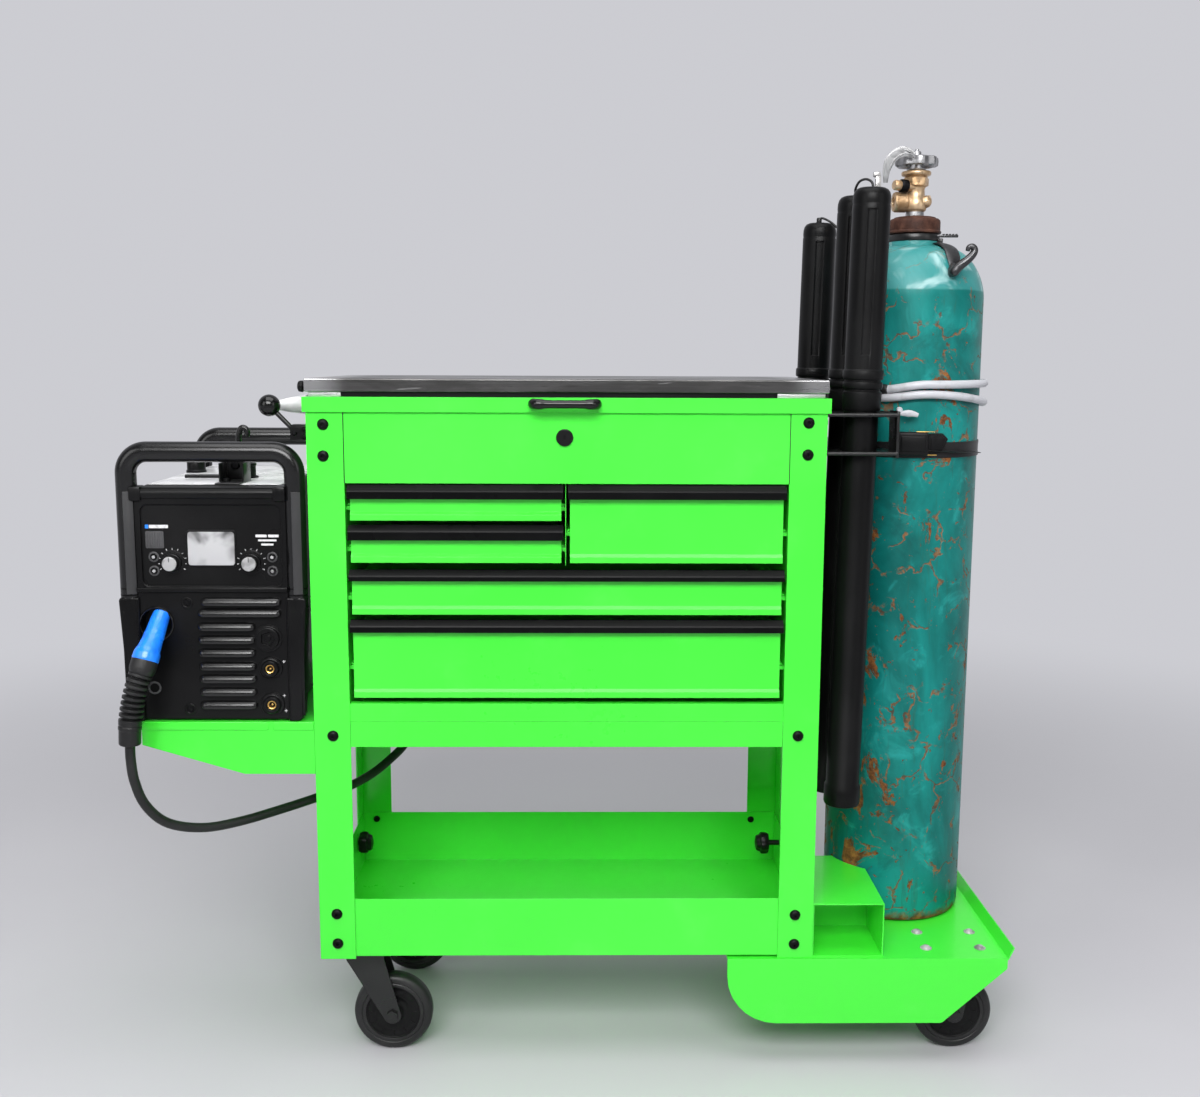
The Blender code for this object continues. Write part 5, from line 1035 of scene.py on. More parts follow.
hook = Form()
hook.box((0.5985, 0.218, 1.314), (0.633, 0.224, 1.318), 0.0008)
for k in range(5):
    hook.box((0.608 + 0.0052 * k, 0.2172, 1.3176), (0.6104 + 0.0052 * k, 0.224, 1.3196), 0.0005)
strap = []
for k in range(15):
    a = radians(86.0 - 53.0 * k / 14)
    turned = radians(-50.0 - 19.0 * k / 14)
    reach, z = shoulder(a, 0.0022)
    strap.append(round_cylinder(reach, turned, z))
hook.tube(strap, along(strap, [(0, 12), (35, 14.2), (75, 12), (100, 6)]), 24, 0, 0.22,
          (0.2, -0.2, 1.0))
curl = smooth_route([strap[-2]] + mm(
    (603.5, 134.5, 1253), (610.5, 131, 1261), (621.5, 128, 1270), (630.5, 128, 1279),
    (633.5, 128, 1286.5), (630, 128, 1291.5), (624.5, 128, 1290.5), (622.5, 128, 1285)), 0.0012)
hook.tube(curl, along(curl, [(0, 4.6), (12, 7.8), (30, 7.4), (60, 6.4), (85, 5.2), (100, 3.2)]),
          28)
hook.done("cylinder_hook", [HOOK_GREY], "cart", "black_metal")

# Valve and handwheel

valve = Form()
valve.lathe(mm((0, 1347.4), (13.5, 1347.4), (13.5, 1356), (16.8, 1358), (18, 1361), (19, 1368),
               (18.2, 1374), (16, 1379), (14.8, 1383), (14.4, 1393), (16.4, 1396.2),
               (19.6, 1397.5), (20, 1399), (20, 1409), (19, 1410.4), (17.2, 1412.4), (22.6, 1414),
               (23.8, 1415.6), (23.8, 1419), (22.6, 1420.6), (0, 1420.6)), CYLINDER, 66,
            shape=lambda a, h, r: r * six_sided(a) * 1.05 if 1.3989 < h < 1.4091 else r)
valve.lathe(mm((0, 1344.1), (20, 1344.1), (19.6, 1347.5), (15, 1350), (14.5, 1356), (0, 1356)),
            CYLINDER, 48, 2)
valve.lathe(disc(0.01, 18), shifted(CYLINDER, 0.015, -0.008, 1.372), 36)
outlet = shifted(CYLINDER, -0.002, 0, 1.372) @ aim((0, 0, 0), (-1, -0.05, 0))
valve.lathe(mm((0, 2), (14, 2), (14.6, 13), (16.6, 15))
            + [(0.0166 - 0.0008 * (k % 2), 0.015 + 0.001 * k) for k in range(1, 18)]
            + mm((15, 34), (8, 34.6), (7.4, 26), (0, 26)), outlet, 44)
upper = shifted(CYLINDER, -0.006, -0.008, 1.3955) @ aim((0, 0, 0), (-1.0, -0.3, 0.05))
valve.lathe(mm((0, 0), (6.6, 0), (6.6, 12), (0, 12)), upper, 32)
valve.lathe(mm((0, 11), (8.8, 11), (10.2, 12.4), (10.4, 23), (9.4, 24.4), (0, 24.4)),
            upper, 40, 1, shape=lambda a, h, r: r * (1 + 0.02 * cos(18 * a)) if r > 0.01 else r)
valve.lathe(mm((0, 24), (7.8, 24), (8.2, 25), (8.2, 34), (7, 35.6), (0, 35.8)), upper, 36)
relief = shifted(CYLINDER, 0.002, 0, 1.374) @ aim((0, 0, 0), (1, 0, 0))
valve.lathe(mm((0, 4), (8, 4), (8, 14), (10, 15), (10, 20.5), (9, 21.5), (5.5, 21.5), (5.2, 23.5),
               (0, 23.5)), relief, 36,
            shape=lambda a, h, r: r * six_sided(a) if 0.0149 < h < 0.0206 else r)
valve.done("valve_body", [BRASS, BOLT_BLACK, CAST], "cart", "brass", ["cylinder_valve"])

guard = Form()
arc = smooth_route(mm((511.8, 222, 1400), (511.2, 216, 1417), (515, 211, 1432), (524, 209, 1442),
                      (534.5, 208.5, 1446.5), (544, 207, 1445), (552, 204, 1440)), 0.0012)
guard.tube(arc, along(arc, [(0, 3.6), (15, 5.2), (42, 8.6), (75, 9), (100, 5)]),
           28, 0, 0.26, (0, 1, 0))
for low, high, reach in ((0.1, 0.97, 0.0052), (0.3, 0.92, -0.004)):
    aside = Vector((-reach * 0.8, -0.0016, reach * 0.7))
    rim = [Vector(p) + aside for p in stretch(arc, low, high, 0.0015)]
    guard.tube(rim, 0.0013, 16)
guard.done("valve_guard", [SILVER], "cart", "stainless_steel")

wheel = Form()
high = 1.436
spin = shifted(CYLINDER, 0, 0, high)


def lobed(a, h, r):
    return r - 0.0016 * (1 - cos(8 * a)) if r > 0.03 else r


wheel.lathe(mm((25.5, -4), (27.5, -7.4), (31.8, -8), (34.8, -6.2), (35.5, 0), (34.8, 5.6),
               (31.8, 7.2), (27.5, 6.8), (25.5, 3.6)), spin, 128, closed=True, shape=lobed)
for k in range(5):
    a = radians(36 + 72 * k)
    way = Vector((cos(a), sin(a), 0))
    centre = spin.translation
    wheel.tube([centre + way * 0.006, centre + way * 0.016, centre + way * 0.028],
               [0.0056, 0.0046, 0.0058], 20, 0, 0.72, (0, 0, 1))
wheel.lathe(mm((0, -13.2), (15, -13.2), (15.4, -11.5), (12, -6), (10.4, 6), (9.2, 9.5), (7, 10.5),
               (6.8, 15), (6, 16.5), (3, 17), (2.8, 20.5), (0, 20.5)), spin, 48)
wheel.done("valve_wheel", [CAST], "handwheel", "stainless_steel", ["valve_handwheel"])

# Strap and cable round the cylinder

strap = Form()
inner = RADIUS + GAP
band = [(inner, 0.962), (inner, 0.9862), (inner + 0.0003, 0.9865), (inner + 0.0012, 0.9865),
        (inner + 0.0015, 0.9862), (inner + 0.0017, 0.984), (inner + 0.0012, 0.979),
        (inner + 0.0012, 0.9695), (inner + 0.0017, 0.9645), (inner + 0.0015, 0.962),
        (inner + 0.0003, 0.9616)]
strap.lathe(band, CYLINDER, 128, closed=True)
seat = spun(CYLINDER, 260.9)
strap.box((inner + 0.001, -0.024, 0.966), (inner + 0.015, 0.024, 1.0035), 0.0038, 1, seat, 4)
strap.box((inner + 0.013, -0.019, 0.9725), (inner + 0.0162, 0.019, 0.997), 0.0012, 1, seat, 3)
seat = spun(CYLINDER, 280.2) @ AXES["X"]
clasp = mm((-18, 968), (2, 969.5), (10, 980), (15, 992.5), (6, 1001), (-18, 1001))
strap.slab(rounded(clasp, [0.001, 0.003, 0.004, 0.0012, 0.002, 0.001], 4),
           inner + 0.001, inner + 0.01, seat, 0.0008, 1)
strap.slab(mm((-14, 972), (1, 973), (7, 982), (10.5, 992), (4.5, 997.5), (-14, 997.5)),
           inner + 0.0095, inner + 0.0112, seat, 0.0006, 1)
tail = [round_cylinder(inner + 0.0032, radians(270 + 2.0 * k), 0.9745 - 0.006 * k / 26)
        for k in range(27)]
strap.tube(tail, 0.0125, 16, 0, 0.1, (0, 0, 1))
for first, last, z in ((263.0, 276.0, 1.004), (268.0, 278.0, 0.9672)):
    turns = [radians(first + (last - first) * k / 8) for k in range(9)]
    strap.tube([round_cylinder(inner + 0.0125, a, z) for a in turns], 0.0008, 12, 2)
strap.done("strap_band", [RUBBER, BLACK, GOLD], "cart", "black_plastic", ["cylinder_strap"])

cable = Form()
line = []
CABLE_RADIUS = 0.0065
TURNS = 1.78
CABLE_START = radians(238.0)
reach = RADIUS + GAP + CABLE_RADIUS
# (turns from the start, height)
KEYS = ((0.0, 1.07), (0.089, 1.078), (0.339, 1.0796), (0.7, 1.074), (1.0, 1.0568),
        (1.089, 1.0625), (1.339, 1.0472), (TURNS, 1.044))
for k in range(int(TURNS * 96) + 1):
    t = k / 96
    a = CABLE_START + 2 * pi * t
    (low, z), (high, other) = next((m, n) for m, n in zip(KEYS, KEYS[1:]) if t <= n[0])
    z += (other - z) * (0.5 - 0.5 * cos(pi * (t - low) / (high - low)))
    line.append(round_cylinder(reach, a, z))
cable.tube(line, CABLE_RADIUS, 24)
for spot, a in ((line[0], CABLE_START), (line[-1], a)):
    seat = Matrix.Translation(spot) @ Matrix.Rotation(a, 4, "Z")
    cable.lathe(mm((6.4, -7), (7.4, -6), (8, -4), (8, 4), (7.4, 6), (6.4, 7)),
                seat @ AXES["Y"], 32, 1, closed=True)
cable.done("cable_loops", [VINYL, RUBBER], "cart", "grey_vinyl", ["wound_cable"])

# Rod canisters

CANISTER_PLACES = {
    "rod_canister_front": (0.4487, 0.06, 0.0, 262.0),
    "rod_canister_middle": (0.44, 0.131, -0.004, 250.0),
    "rod_canister_back": (0.429, 0.378, -0.02, 262.0),
}
PIVOT = 0.976
FLUTE_FOOT = 1.124
GROOVE_HALF, GROOVE_FADE = 0.245, 0.05  # radians
GROOVE_DEPTH = 0.0022
for name, (x, y, change, facing) in CANISTER_PLACES.items():
    top = 1.372 + change
    groove = radians(facing)

    def grooved(a, h, r, top=top, groove=groove):
        if not FLUTE_FOOT - 0.0005 < h + PIVOT < top - 0.0345:
            return r
        away = abs((a - groove + pi) % (2 * pi) - pi)
        share = max(0.0, min(1.0, (GROOVE_HALF - away) / GROOVE_FADE))
        return r - GROOVE_DEPTH * share * share * (3 - 2 * share)

    outline = raised(top, (0, 0), (12, -0.3), (19, -1.2), (23.6, -3.4), (26.6, -7.4), (28.1, -13),
                     (28.5, -20), (28, -25), (28, -26.2), (28.5, -27.2), (28.5, -34),
                     (28.5, -35.2))
    outline += [(0.0285, FLUTE_FOOT + (top - 0.037 - FLUTE_FOOT) * (1 - k / 6)) for k in range(7)]
    outline += mm((28.5, 1123), (28.5, 1102), (30, 1100.5), (30.8, 1099), (30.8, 1089), (30, 1087),
                  (27.4, 1086.2), (27.4, 1083.8), (29.6, 1082.8), (30.1, 1081), (30.1, 1074.5),
                  (29.2, 1072.8), (27, 1071.6), (27, 1069.2), (29, 1067.8), (29.4, 1065),
                  (29, 1042), (28, 1039.5), (26.2, 1038.6), (26.2, 448), (28.5, 444.5),
                  (28.5, 417), (27.2, 413.5), (24.5, 412), (0, 412))
    made = Form()
    seat = place(x, y, PIVOT) @ Matrix.Rotation(radians(1.03), 4, "Y")
    made.lathe([(r, h - PIVOT) for r, h in outline], seat, 144, shape=grooved)
    made.done(f"{name}_body", [CANISTER_BLACK], "cart", "black_plastic", [name])

rods = Form()
for z in (0.976, 1.034):
    rods.tube([(0.3915, 0.019, z), (0.4985, 0.019, z)], 0.003, 20)
    rods.tube([(0.497, 0.019, z), (0.497, 0.15, z)], 0.003, 20)
rods.box((0.4955, 0.0175, 0.97), (0.5, 0.06, 1.04), 0.0012)
rods.done("rack_edges", [COAT], "cart", "black_metal")

cam = Form()
grip = smooth_route(mm((524, 116, 1033), (533, 115, 1033), (543, 114.5, 1032.5),
                       (551.5, 114, 1030)), 0.001)
cam.tube(grip, along(grip, [(0, 3.4), (45, 5.6), (100, 3.2)]), 20, 0, 0.6, (0, 1, 0))
cam.lathe(mm((0, -4), (3.6, -4), (4.6, -2.5), (4.6, 2.5), (3.6, 4), (0, 4)),
          place(0.5225, 0.117, 1.0385, "Y"), 28)
cam.box((0.5212, 0.115, 0.978), (0.5228, 0.12, 1.038), 0.0005, 1)
cam.done("rack_cam", [VINYL, COAT], "cart", "black_metal")

leash = Form()
cord = smooth_route(mm((446, 131, 1367), (442, 118, 1376), (444, 100, 1385), (450, 82, 1386.5),
                       (456, 69, 1381), (458, 64, 1371.5)), 0.002)
leash.tube(cord, 0.0019, 16)
leash.lathe(mm((0, 0), (4.5, 0), (5, 1), (5, 4), (3, 5.6), (0, 5.8)),
            place(0.4465, 0.131, 1.365), 28)
leash.box((0.4605, 0.062, 1.369), (0.469, 0.0672, 1.3895), 0.0016, 1)
leash.box((0.457, 0.0612, 1.387), (0.468, 0.068, 1.395), 0.0022, 1)
leash.tube(smooth_route(mm((429, 378, 1350), (436, 370, 1359), (450, 360, 1352), (462, 350, 1340)),
                        0.002), 0.0019, 16)
leash.lathe(mm((0, 0), (4, 0), (4.5, 3), (4.5, 7), (3.6, 9), (0, 9.5)),
            place(0.433, 0.373, 1.351), 28)
leash.done("canister_leash", [RUBBER, PLATED], "cart", "black_rubber")

# Platform

caps = Form()
for x, y in mm((578, 34.5), (665, 34.5), (578, 93), (665, 93), (594, 315), (665, 315), (594, 375),
               (665, 375)):
    caps.lathe(mm((0, 5.2), (3.5, 4.8), (6.2, 3.2), (7.4, 1), (9.2, 0.8), (9.2, -0.2), (0, -0.2)),
               place(x, y, 0.1787), 32)
caps.done("platform_bolts", [SILVER], "cart", "stainless_steel")

# Welder front

FACE = 0.006
OUT = place(0.0, FACE, 0.0, "-Y")
CASE_LEFT, CASE_RIGHT = -0.6455, -0.4265
BASE, TOP = 0.5665, 0.925


def round_hole(x, z, radius, steps=32):
    return [(x + radius * cos(2 * pi * k / steps), z + radius * sin(2 * pi * k / steps))
            for k in range(steps)]


def plate(form, outline, holes, start, end, where, bevel):
    """A plate with holes, extruded along the local Z axis, its far edges bevelled."""
    made = bmesh.new()
    edges = []
    for loop in (outline, *holes):
        verts = [made.verts.new((u, v, start)) for u, v in loop]
        edges += [made.edges.new((a, b)) for a, b in zip(verts, verts[1:] + verts[:1])]
    bmesh.ops.triangle_fill(made, use_beauty=True, edges=edges, normal=(0.0, 0.0, 1.0))
    grown = bmesh.ops.extrude_face_region(made, geom=made.faces[:])
    moved = [v for v in grown["geom"] if isinstance(v, bmesh.types.BMVert)]
    bmesh.ops.translate(made, vec=(0.0, 0.0, end - start), verts=moved)
    bmesh.ops.recalc_face_normals(made, faces=made.faces[:])
    edges = [e for e in made.edges if e.calc_face_angle(0.0) > radians(60)
             and all(abs(v.co.z - end) < 1e-6 for v in e.verts)]
    bmesh.ops.bevel(made, geom=edges, offset=bevel, segments=3, profile=0.5, affect="EDGES")
    bmesh.ops.transform(made, matrix=where, verts=made.verts[:])
    form.merge(made, 0)


INK = 0.00012
KNOBS = ((-0.5958, 0.8095), (-0.4771, 0.8095))
BUTTONS = {
    "left_upper": (-0.6236, 0.8178), "left_lower": (-0.6236, 0.7965),
    "right_upper": (-0.4455, 0.8178), "right_lower": (-0.4455, 0.7965)}
SOCKETS = ((-0.4523, 0.647), (-0.4511, 0.5907))
front = Form()
recess = rectangle(-0.6405, -0.431, 0.7735, 0.8975, 0.011)
plug_hole = round_hole(-0.6225, 0.716, 0.0228)
plate(front, rectangle(CASE_LEFT - 0.004, CASE_RIGHT + 0.004, BASE, TOP - 0.003, 0.004),
      [recess, plug_hole], -0.024, 0.0, OUT, 0.0016)
front.box((-0.642, FACE + 0.004, 0.77), (-0.4295, FACE + 0.02, 0.901), 0.0, 1)
front.box((CASE_LEFT - 0.004, FACE - 0.0045, 0.765), (CASE_RIGHT + 0.004, FACE + 0.01, 0.7718),
          0.0016)
front.tube([(CASE_LEFT - 0.002, FACE + 0.0055, 0.914), (CASE_RIGHT + 0.002, FACE + 0.0055, 0.914)],
           0.0098, 32)
front.box((CASE_LEFT - 0.002, FACE + 0.006, 0.904), (CASE_RIGHT + 0.002, FACE + 0.02, 0.9245),
          0.003)
for x in (-0.646, -0.431):
    front.box((x - 0.0095, FACE - 0.006, 0.903), (x + 0.0095, FACE + 0.02, 0.9255), 0.0035)
panel = shifted(OUT, 0, 0, -0.004)
front.slab(rectangle(-0.5745, -0.4985, 0.8025, 0.859, 0.0055), 0.0, 0.0014, panel, 0.0006, 1)
front.slab(rectangle(-0.5715, -0.5015, 0.8052, 0.8562, 0.0045), 0.0, 0.0028, panel, 0.0009, 2, 3)
for x, z in KNOBS:
    front.lathe(mm((0, 0), (18.6, 0), (18.6, 0.6), (17.6, 1), (0, 1)), shifted(panel, x, z), 64, 1)
    for k in range(11):
        spot = spun(shifted(panel, x, z), -30 + 24 * k)
        far = 0.0216 if k % 2 else 0.0224
        front.box((0.0192, -0.0004, 0.0), (far, 0.0004, INK), 0.0, 3, spot)
for name, (x, z) in BUTTONS.items():
    front.lathe(mm((5.3, 0), (8, 0), (8, 0.8), (7.2, 1.5), (6, 1.7), (5.3, 1.2)),
                shifted(panel, x, z), 48, 9, closed=True)


def print_bar(left, right_end, low, high, index=3):
    bar = rectangle(left, right_end, low, high, min(0.0008, (high - low) / 3), 3)
    front.slab(bar, 0.0, INK, panel, 0.0, index, 1)


print_bar(-0.629, -0.6005, 0.8615, 0.8665)
print_bar(-0.635, -0.63, 0.8612, 0.8668, 5)
front.slab(rectangle(-0.635, -0.6075, 0.831, 0.857, 0.002), 0.0, 0.0008, panel, 0.0003, 6)
for k in range(7):
    x = -0.6335 + 0.0036 * k
    front.box((x, 0.8325, 0.0006), (x + 0.002, 0.8555, 0.0014), 0.0003, 6, panel)
for left, right_end, low, high in mm((-470, -453, 848, 852), (-451, -435, 848, 852),
                                     (-466, -438.5, 841.8, 844.8), (-461.5, -443, 835.5, 838.5)):
    print_bar(left, right_end, low, high)
for x, z in ((-0.5756, 0.7479), (-0.5772, 0.5827)):
    where = shifted(OUT, x, z)
    front.lathe(mm((5.2, 0), (8.8, 0), (8.8, 0.8), (7.8, 1.6), (6.2, 1.6), (5.2, 0.6)),
                where, 40, closed=True)
    front.lathe(mm((0, 0.8), (5, 0.4), (5, -0.2), (0, -0.2)), where, 32, 7)
    for quarter in (0, 1):
        front.box((-0.0032, -0.0005, 0.0004), (0.0032, 0.0005, 0.0009), 0.0, 1,
                  spun(where, 35 + 90 * quarter))
GILLS = [(-0.5547, -0.4332, 0.75), (-0.56, -0.4337, 0.733)]
GILLS += [(-0.5611, -0.4735, z) for z in (0.7115, 0.6914, 0.6712, 0.6502, 0.6306, 0.6103, 0.5898)]
GILL_END = 0.0105


def louvre(form, left, right_end, z, index):
    """A pressed gill: a lip that swells out of the sheet, open below, its ends rounded."""
    section = mm((7.2, -0.4), (6.4, 2.2), (4.6, 5), (2, 7.2), (-1.2, 8.4), (-4, 8.4), (-5.4, 7.4),
                 (-4.8, 4), (-4, -0.4))
    rows = []
    steps = [k / 8 for k in range(9)]
    places = [left + GILL_END * (1 - cos(pi / 2 * k)) for k in steps]
    places += [right_end - GILL_END * (1 - sin(pi / 2 * k)) for k in steps]
    for x in places:
        edge = min(x - left, right_end - x)
        share = max(0.03, 1 - (1 - min(1.0, edge / GILL_END)) ** 2) ** 0.5
        spots = [(x, z + u * (0.35 + 0.65 * share), v * share) for u, v in section]
        rows.append([form.shape.verts.new(OUT @ Vector(spot)) for spot in spots])
    for low, high in zip(rows, rows[1:]):
        for k in range(len(section) - 1):
            form.face([low[k], low[k + 1], high[k + 1], high[k]], index)
        form.face([low[-1], low[0], high[0], high[-1]], index)
    form.face(rows[0][::-1], index)
    form.face(rows[-1], index)


for left, right_end, z in GILLS:
    louvre(front, left, right_end, z, 10)
cover = shifted(OUT, -0.4545, 0.6938)
front.lathe(mm((0, 5.2), (4, 5.2), (4.6, 4), (9.2, 3.8), (10.4, 6.4), (15, 6.8), (16.8, 6),
               (17.6, 3), (19, 2.4), (20.8, 2.2), (20.8, -0.3), (0, -0.3)), cover, 120,
            shape=lambda a, h, r: r * (1 + 0.1 * cos(5 * a)) if 0.004 < r < 0.011 else r)
for x, z in SOCKETS:
    seat = shifted(OUT, x, z)

    def flat_foot(a, h, r):
        return min(r, -0.0128 / sin(a)) if sin(a) < 0 and r > 0.014 else r

    front.lathe(mm((6.8, -4), (7.2, 8.5), (8.6, 9.8), (11.8, 10), (13.4, 8.4), (14, 3.6),
                   (15.2, 3), (17.6, 2.6), (18.4, 1.4), (18.4, -0.3)),
                seat, 72, closed=True, shape=flat_foot)
    front.lathe(mm((5, 6), (6.4, 6.6), (7, 6), (7, -3), (5, -3)), seat, 40, 8, closed=True)
    front.lathe(mm((0, -3), (5.6, -3), (5.6, -3.5), (0, -3.5)), seat, 32, 1)
    front.lathe(mm((0, 4.2), (1.6, 3.6), (1.8, -3.4), (0, -3.4)), seat, 20, 8)
for u, v in mm((-464.2, 657), (-432.5, 657.2), (-433, 604), (-431, 580)):
    front.box((u - 0.0022, v - 0.0005, 0.0), (u + 0.0022, v + 0.0005, INK), 0.0, 3, OUT)
    front.box((u - 0.0005, v - 0.0022, 0.0), (u + 0.0005, v + 0.0022, INK), 0.0, 3, OUT)
mouth = shifted(OUT, -0.6225, 0.716)
front.lathe(mm((22.6, -20), (22.6, 1), (23.6, 3.2), (25, 3.8), (26.4, 2.8), (27, 0), (27, -1),
               (25, -20)), mouth, 72, 4, closed=True)
front.lathe(mm((0, -18), (24, -18), (24, -19.5), (0, -19.5)), mouth, 48, 1)
side_ring = shifted(OUT, -0.63, 0.616)
front.lathe(mm((7, 0), (7.6, 1.8), (8.8, 2.4), (9.8, 1.6), (10.2, 0), (10.2, -0.4), (7, -0.4)),
            side_ring, 48, 9, closed=True)
front.done("welder_fascia", [
    GRAINED, BLACK, DISPLAY, WHITE, GLOSS_BLACK, BLUE, GREY_PLASTIC, BOLT_BLACK, GOLD,
    GREY_PLASTIC, GILL_BLACK], "cart", "welder_front", ["welder_front"])

for name, (x, z) in zip(("knob_left", "knob_right"), KNOBS):
    where = shifted(panel, x, z)
    made = Form()
    made.lathe(mm((0, -10), (3.2, -10), (3.2, 0.3), (14.2, 0.3), (14.5, 1.2), (14.5, 5.2),
                  (13.8, 6.4), (12.4, 7), (11.9, 8), (11.6, 16), (11.2, 16.8), (0, 16.8)),
               where, 120,
               shape=lambda a, h, r:
               r * (1 + 0.012 * cos(30 * a)) if r > 0.0135 and h > 0.001 else r)
    made.lathe(mm((0, 19), (8.8, 19), (10.4, 18.4), (11, 17.2), (11, 15), (0, 15)), where, 64, 1)
    made.box((-0.0006, 0.003, 0.0188), (0.0006, 0.0098, 0.0192), 0.0, 2, where)
    made.done(f"{name}_dial", [BLACK, SILVER_CAP, GREY_PLASTIC], name, "black_plastic", [name])
for name, (x, z) in BUTTONS.items():
    where = shifted(panel, x, z)
    made = Form()
    made.lathe(mm((0, -6.5), (5.1, -6.5), (5.1, 2), (4.6, 2.8), (3.6, 3), (0, 3)), where, 40)
    made.lathe(mm((0, 3.1), (2.2, 3.1), (2.8, 2.8), (2.8, 2.6), (0, 2.6)), where, 32, 1)
    made.done(f"button_{name}_cap", [GLOSS_BLACK, SILVER_CAP], f"button_{name}", "black_plastic",
              [f"button_{name}"])

# Welder: bars, and the fittings on its top

BARS = {"roll_bar_front": 0.016, "roll_bar_rear": 0.416}
LEFT, RIGHT = -0.6775, -0.3945
BAR_RADIUS = 0.0155
for name, y in BARS.items():
    left, right_end = LEFT + BAR_RADIUS, RIGHT - BAR_RADIUS
    made = Form()
    low, high = 0.74, 0.976
    line = rounded([(left, y, low), (left, y, high), (right_end, y, high), (right_end, y, low)],
                   [0.0, 0.032, 0.032, 0.0], 14, closed=False)
    made.tube(line, BAR_RADIUS, 40, across=(0, 1, 0))
    for side, outer in ((1, LEFT), (-1, RIGHT)):
        inner = outer + side * (0.036 - 0.004 - GAP)
        outline = [(outer, 0.757), (inner, 0.757), (inner, 0.5643), (outer + side * 0.01, 0.5643)]
        made.slab(rounded(outline, [0.006, 0.003, 0.003, 0.01], 5)[::side],
                  -y - BAR_RADIUS, -y + BAR_RADIUS, AXES["-Y"], 0.0035, 1, 4)
        for z in (0.738, 0.748):
            made.lathe(mm((15, -3), (15.5, -1), (15.5, 1), (15, 3), (14, 0)),
                       place(outer + side * BAR_RADIUS, y, z + 0.022), 40, 1, closed=True)
        band = [(outer + side * 0.006, 0.575), (outer + side * 0.0095, 0.575),
                (outer + side * 0.0085, 0.735), (outer + side * 0.005, 0.735)]
        made.slab(rounded(band, 0.0012, 3)[::side], -y + 0.015, -y + 0.0157, AXES["-Y"], 0.0, 1)
    # Thin grey shells on the inner front of the legs: painted highlight bands, standing in for the
    # legs' reflections.
    for centre, first, last in ((left, -95.0, -40.0), (right_end, -100.0, -50.0)):
        turns = [radians(first + (last - first) * k / 8) for k in range(9)]
        arc = [(centre + 0.016 * cos(a), y + 0.016 * sin(a)) for a in turns]
        arc += [(centre + 0.0148 * cos(a), y + 0.0148 * sin(a)) for a in reversed(turns)]
        made.slab(arc, 0.762, 0.917, AXES["Z"], 0.0, 2)
    made.done(f"{name}_tube", [BAR_BLACK, GRAINED, LEG_PAINTED_HIGHLIGHT], "cart", "black_metal", [name])

top = Form()
# A pale sheet over the black top: painted reflection of the bright backdrop, not a part.
top.slab(rectangle(-0.6365, -0.4355, 0.034, 0.393, 0.006), 0.925, 0.9256, AXES["Z"], 0.0002, 3)
top.lathe(mm((0, 0), (16.5, 0), (16.5, 3.5), (15, 5), (15, 23), (14.2, 24.2), (11, 24.2), (10, 20),
             (0, 20)), place(-0.6242, 0.245, 0.9252), 56)
top.box((-0.5345, 0.032, 0.9252), (-0.496, 0.1, 0.9275), 0.0008, 1)
top.box((-0.5345, 0.094, 0.9255), (-0.496, 0.1, 0.964), 0.0016, 1)
for x in (-0.5345, -0.4985):
    top.box((x, 0.056, 0.926), (x + 0.0025, 0.096, 0.956), 0.0008, 1)
top.lathe(mm((0, 5), (5, 4.6), (6.6, 3), (6.8, -1), (0, -1)),
          place(-0.518, 0.094, 0.95, "-Y"), 32, 2)
top.lathe(mm((0, 5.2), (4, 5.2), (5.8, 3.6), (6.4, 0.4), (6.4, -0.2), (0, -0.2)),
          place(-0.5239, 0.06, 0.9275), 32, 2)
top.lathe(mm((0, 0), (16.5, 0), (16.8, 3), (13, 4), (12.8, 19), (14, 20), (14, 23.5), (12, 24.5),
             (9, 24.5), (8.5, 18), (0, 18)), place(-0.5136, 0.148, 0.9252), 48)
curl = smooth_route(mm((-513.6, 99, 933), (-513.6, 100, 970), (-513, 100, 996), (-509, 100, 1007),
                       (-503, 100, 1007), (-499.5, 100, 1001), (-501, 100, 995)), 0.002)
top.tube(curl, 0.0046, 20, 1)
top.tube(mm((-605, 120, 930), (-580, 120, 930), (-550, 120, 930)), 0.003, 16, 1)
top.done("welder_top_fittings", [BLACK, COAT, BOLT_BLACK, TOP_PAINTED_REFLECTION], "cart", "black_metal")


# Floor, backdrop and light

BACKDROP = (0.605, 0.607, 0.644)
NEAR = (0.085, 0.085, 0.088)


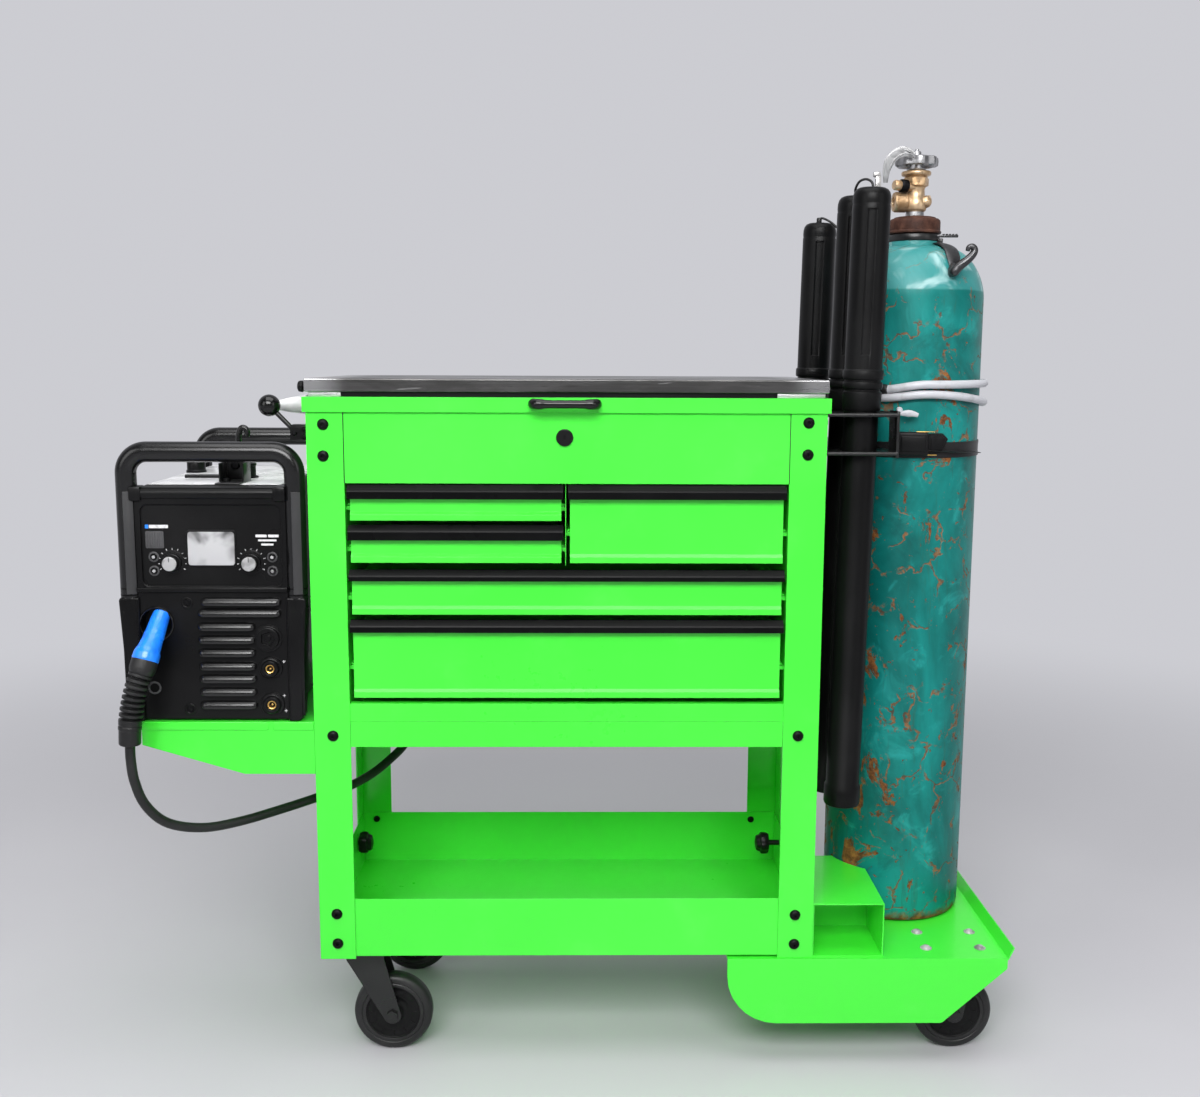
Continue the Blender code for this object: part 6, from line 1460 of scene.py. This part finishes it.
def plain_floor():
    """Pale and plain; far away it takes the backdrop's own brightness."""
    made = Surface("pale_floor", (0.5, 0.5, 0.52), 0.42)
    broad = made.noise(1.1, 4.0, 0.5)
    fine = made.noise(24.0, 5.0, 0.6)
    tone = made.blend(made.fit(broad, 0.35, 0.65), (0.475, 0.47, 0.494), (0.498, 0.493, 0.516))
    made.colour(made.blend(made.times(fine, 0.06), tone, (0.43, 0.43, 0.447)))
    made.rough(broad, 0.46, 0.56)
    made.bump(fine, 0.00015)
    far = made.add("ShaderNodeVectorMath", {0: made.where}, operation="LENGTH").outputs["Value"]
    glow = made.add("ShaderNodeEmission", {"Color": (*BACKDROP, 1.0), "Strength": 1.0})
    share = made.fit(far, 1.1, 3.6)
    mixed = made.add("ShaderNodeMixShader", {
        0: share, 1: made.shader.outputs["BSDF"], 2: glow.outputs["Emission"]})
    output = made.tree.nodes["Material Output"]
    made.tree.links.new(mixed.outputs["Shader"], output.inputs["Surface"])
    return made.material


ground = bmesh.new()
bmesh.ops.create_grid(ground, x_segments=8, y_segments=8, size=60.0)
mesh = bpy.data.meshes.new("floor")
ground.to_mesh(mesh)
ground.free()
mesh.materials.append(plain_floor())
new_object("floor", mesh)

world = bpy.data.worlds.new("studio")
bpy.context.scene.world = world
world.use_nodes = True
sky = Nodes(world.node_tree)
way = sky.add("ShaderNodeTexCoord").outputs["Generated"]
depth = sky.add("ShaderNodeSeparateXYZ", {0: way}).outputs["Y"]
share = sky.add("ShaderNodeMapRange", {"Value": depth, "From Min": -0.35, "From Max": 0.55},
                interpolation_type="SMOOTHSTEP").outputs["Result"]
tone = sky.add("ShaderNodeMix", {0: share, 6: (*NEAR, 1.0), 7: (*BACKDROP, 1.0)}, data_type="RGBA")
glow = sky.tree.nodes["Background"]
sky.tree.links.new(tone.outputs[2], glow.inputs["Color"])
glow.inputs["Strength"].default_value = 1.0


def soft_light(name, spot, target, size, power):
    data = bpy.data.lights.new(name, "AREA")
    data.shape = "RECTANGLE"
    data.size, data.size_y = size
    data.energy = power
    made = new_object(name, data)
    made.location = at(*spot)
    made.rotation_euler = (at(*target) - made.location).to_track_quat("-Z", "Y").to_euler()


soft_light("left", (-3.1, -2.5, 2.3), (0.0, 0.1, 0.75), (1.6, 2.2), 32.0)
soft_light("right", (3.2, -2.4, 2.2), (0.0, 0.1, 0.75), (1.4, 2.2), 19.0)
soft_light("front", (-0.2, -3.3, 3.0), (0.0, 0.1, 0.35), (2.8, 1.5), 196.0)
soft_light("overhead", (0.0, -0.6, 3.7), (0.0, 0.1, 0.2), (3.0, 2.0), 74.0)
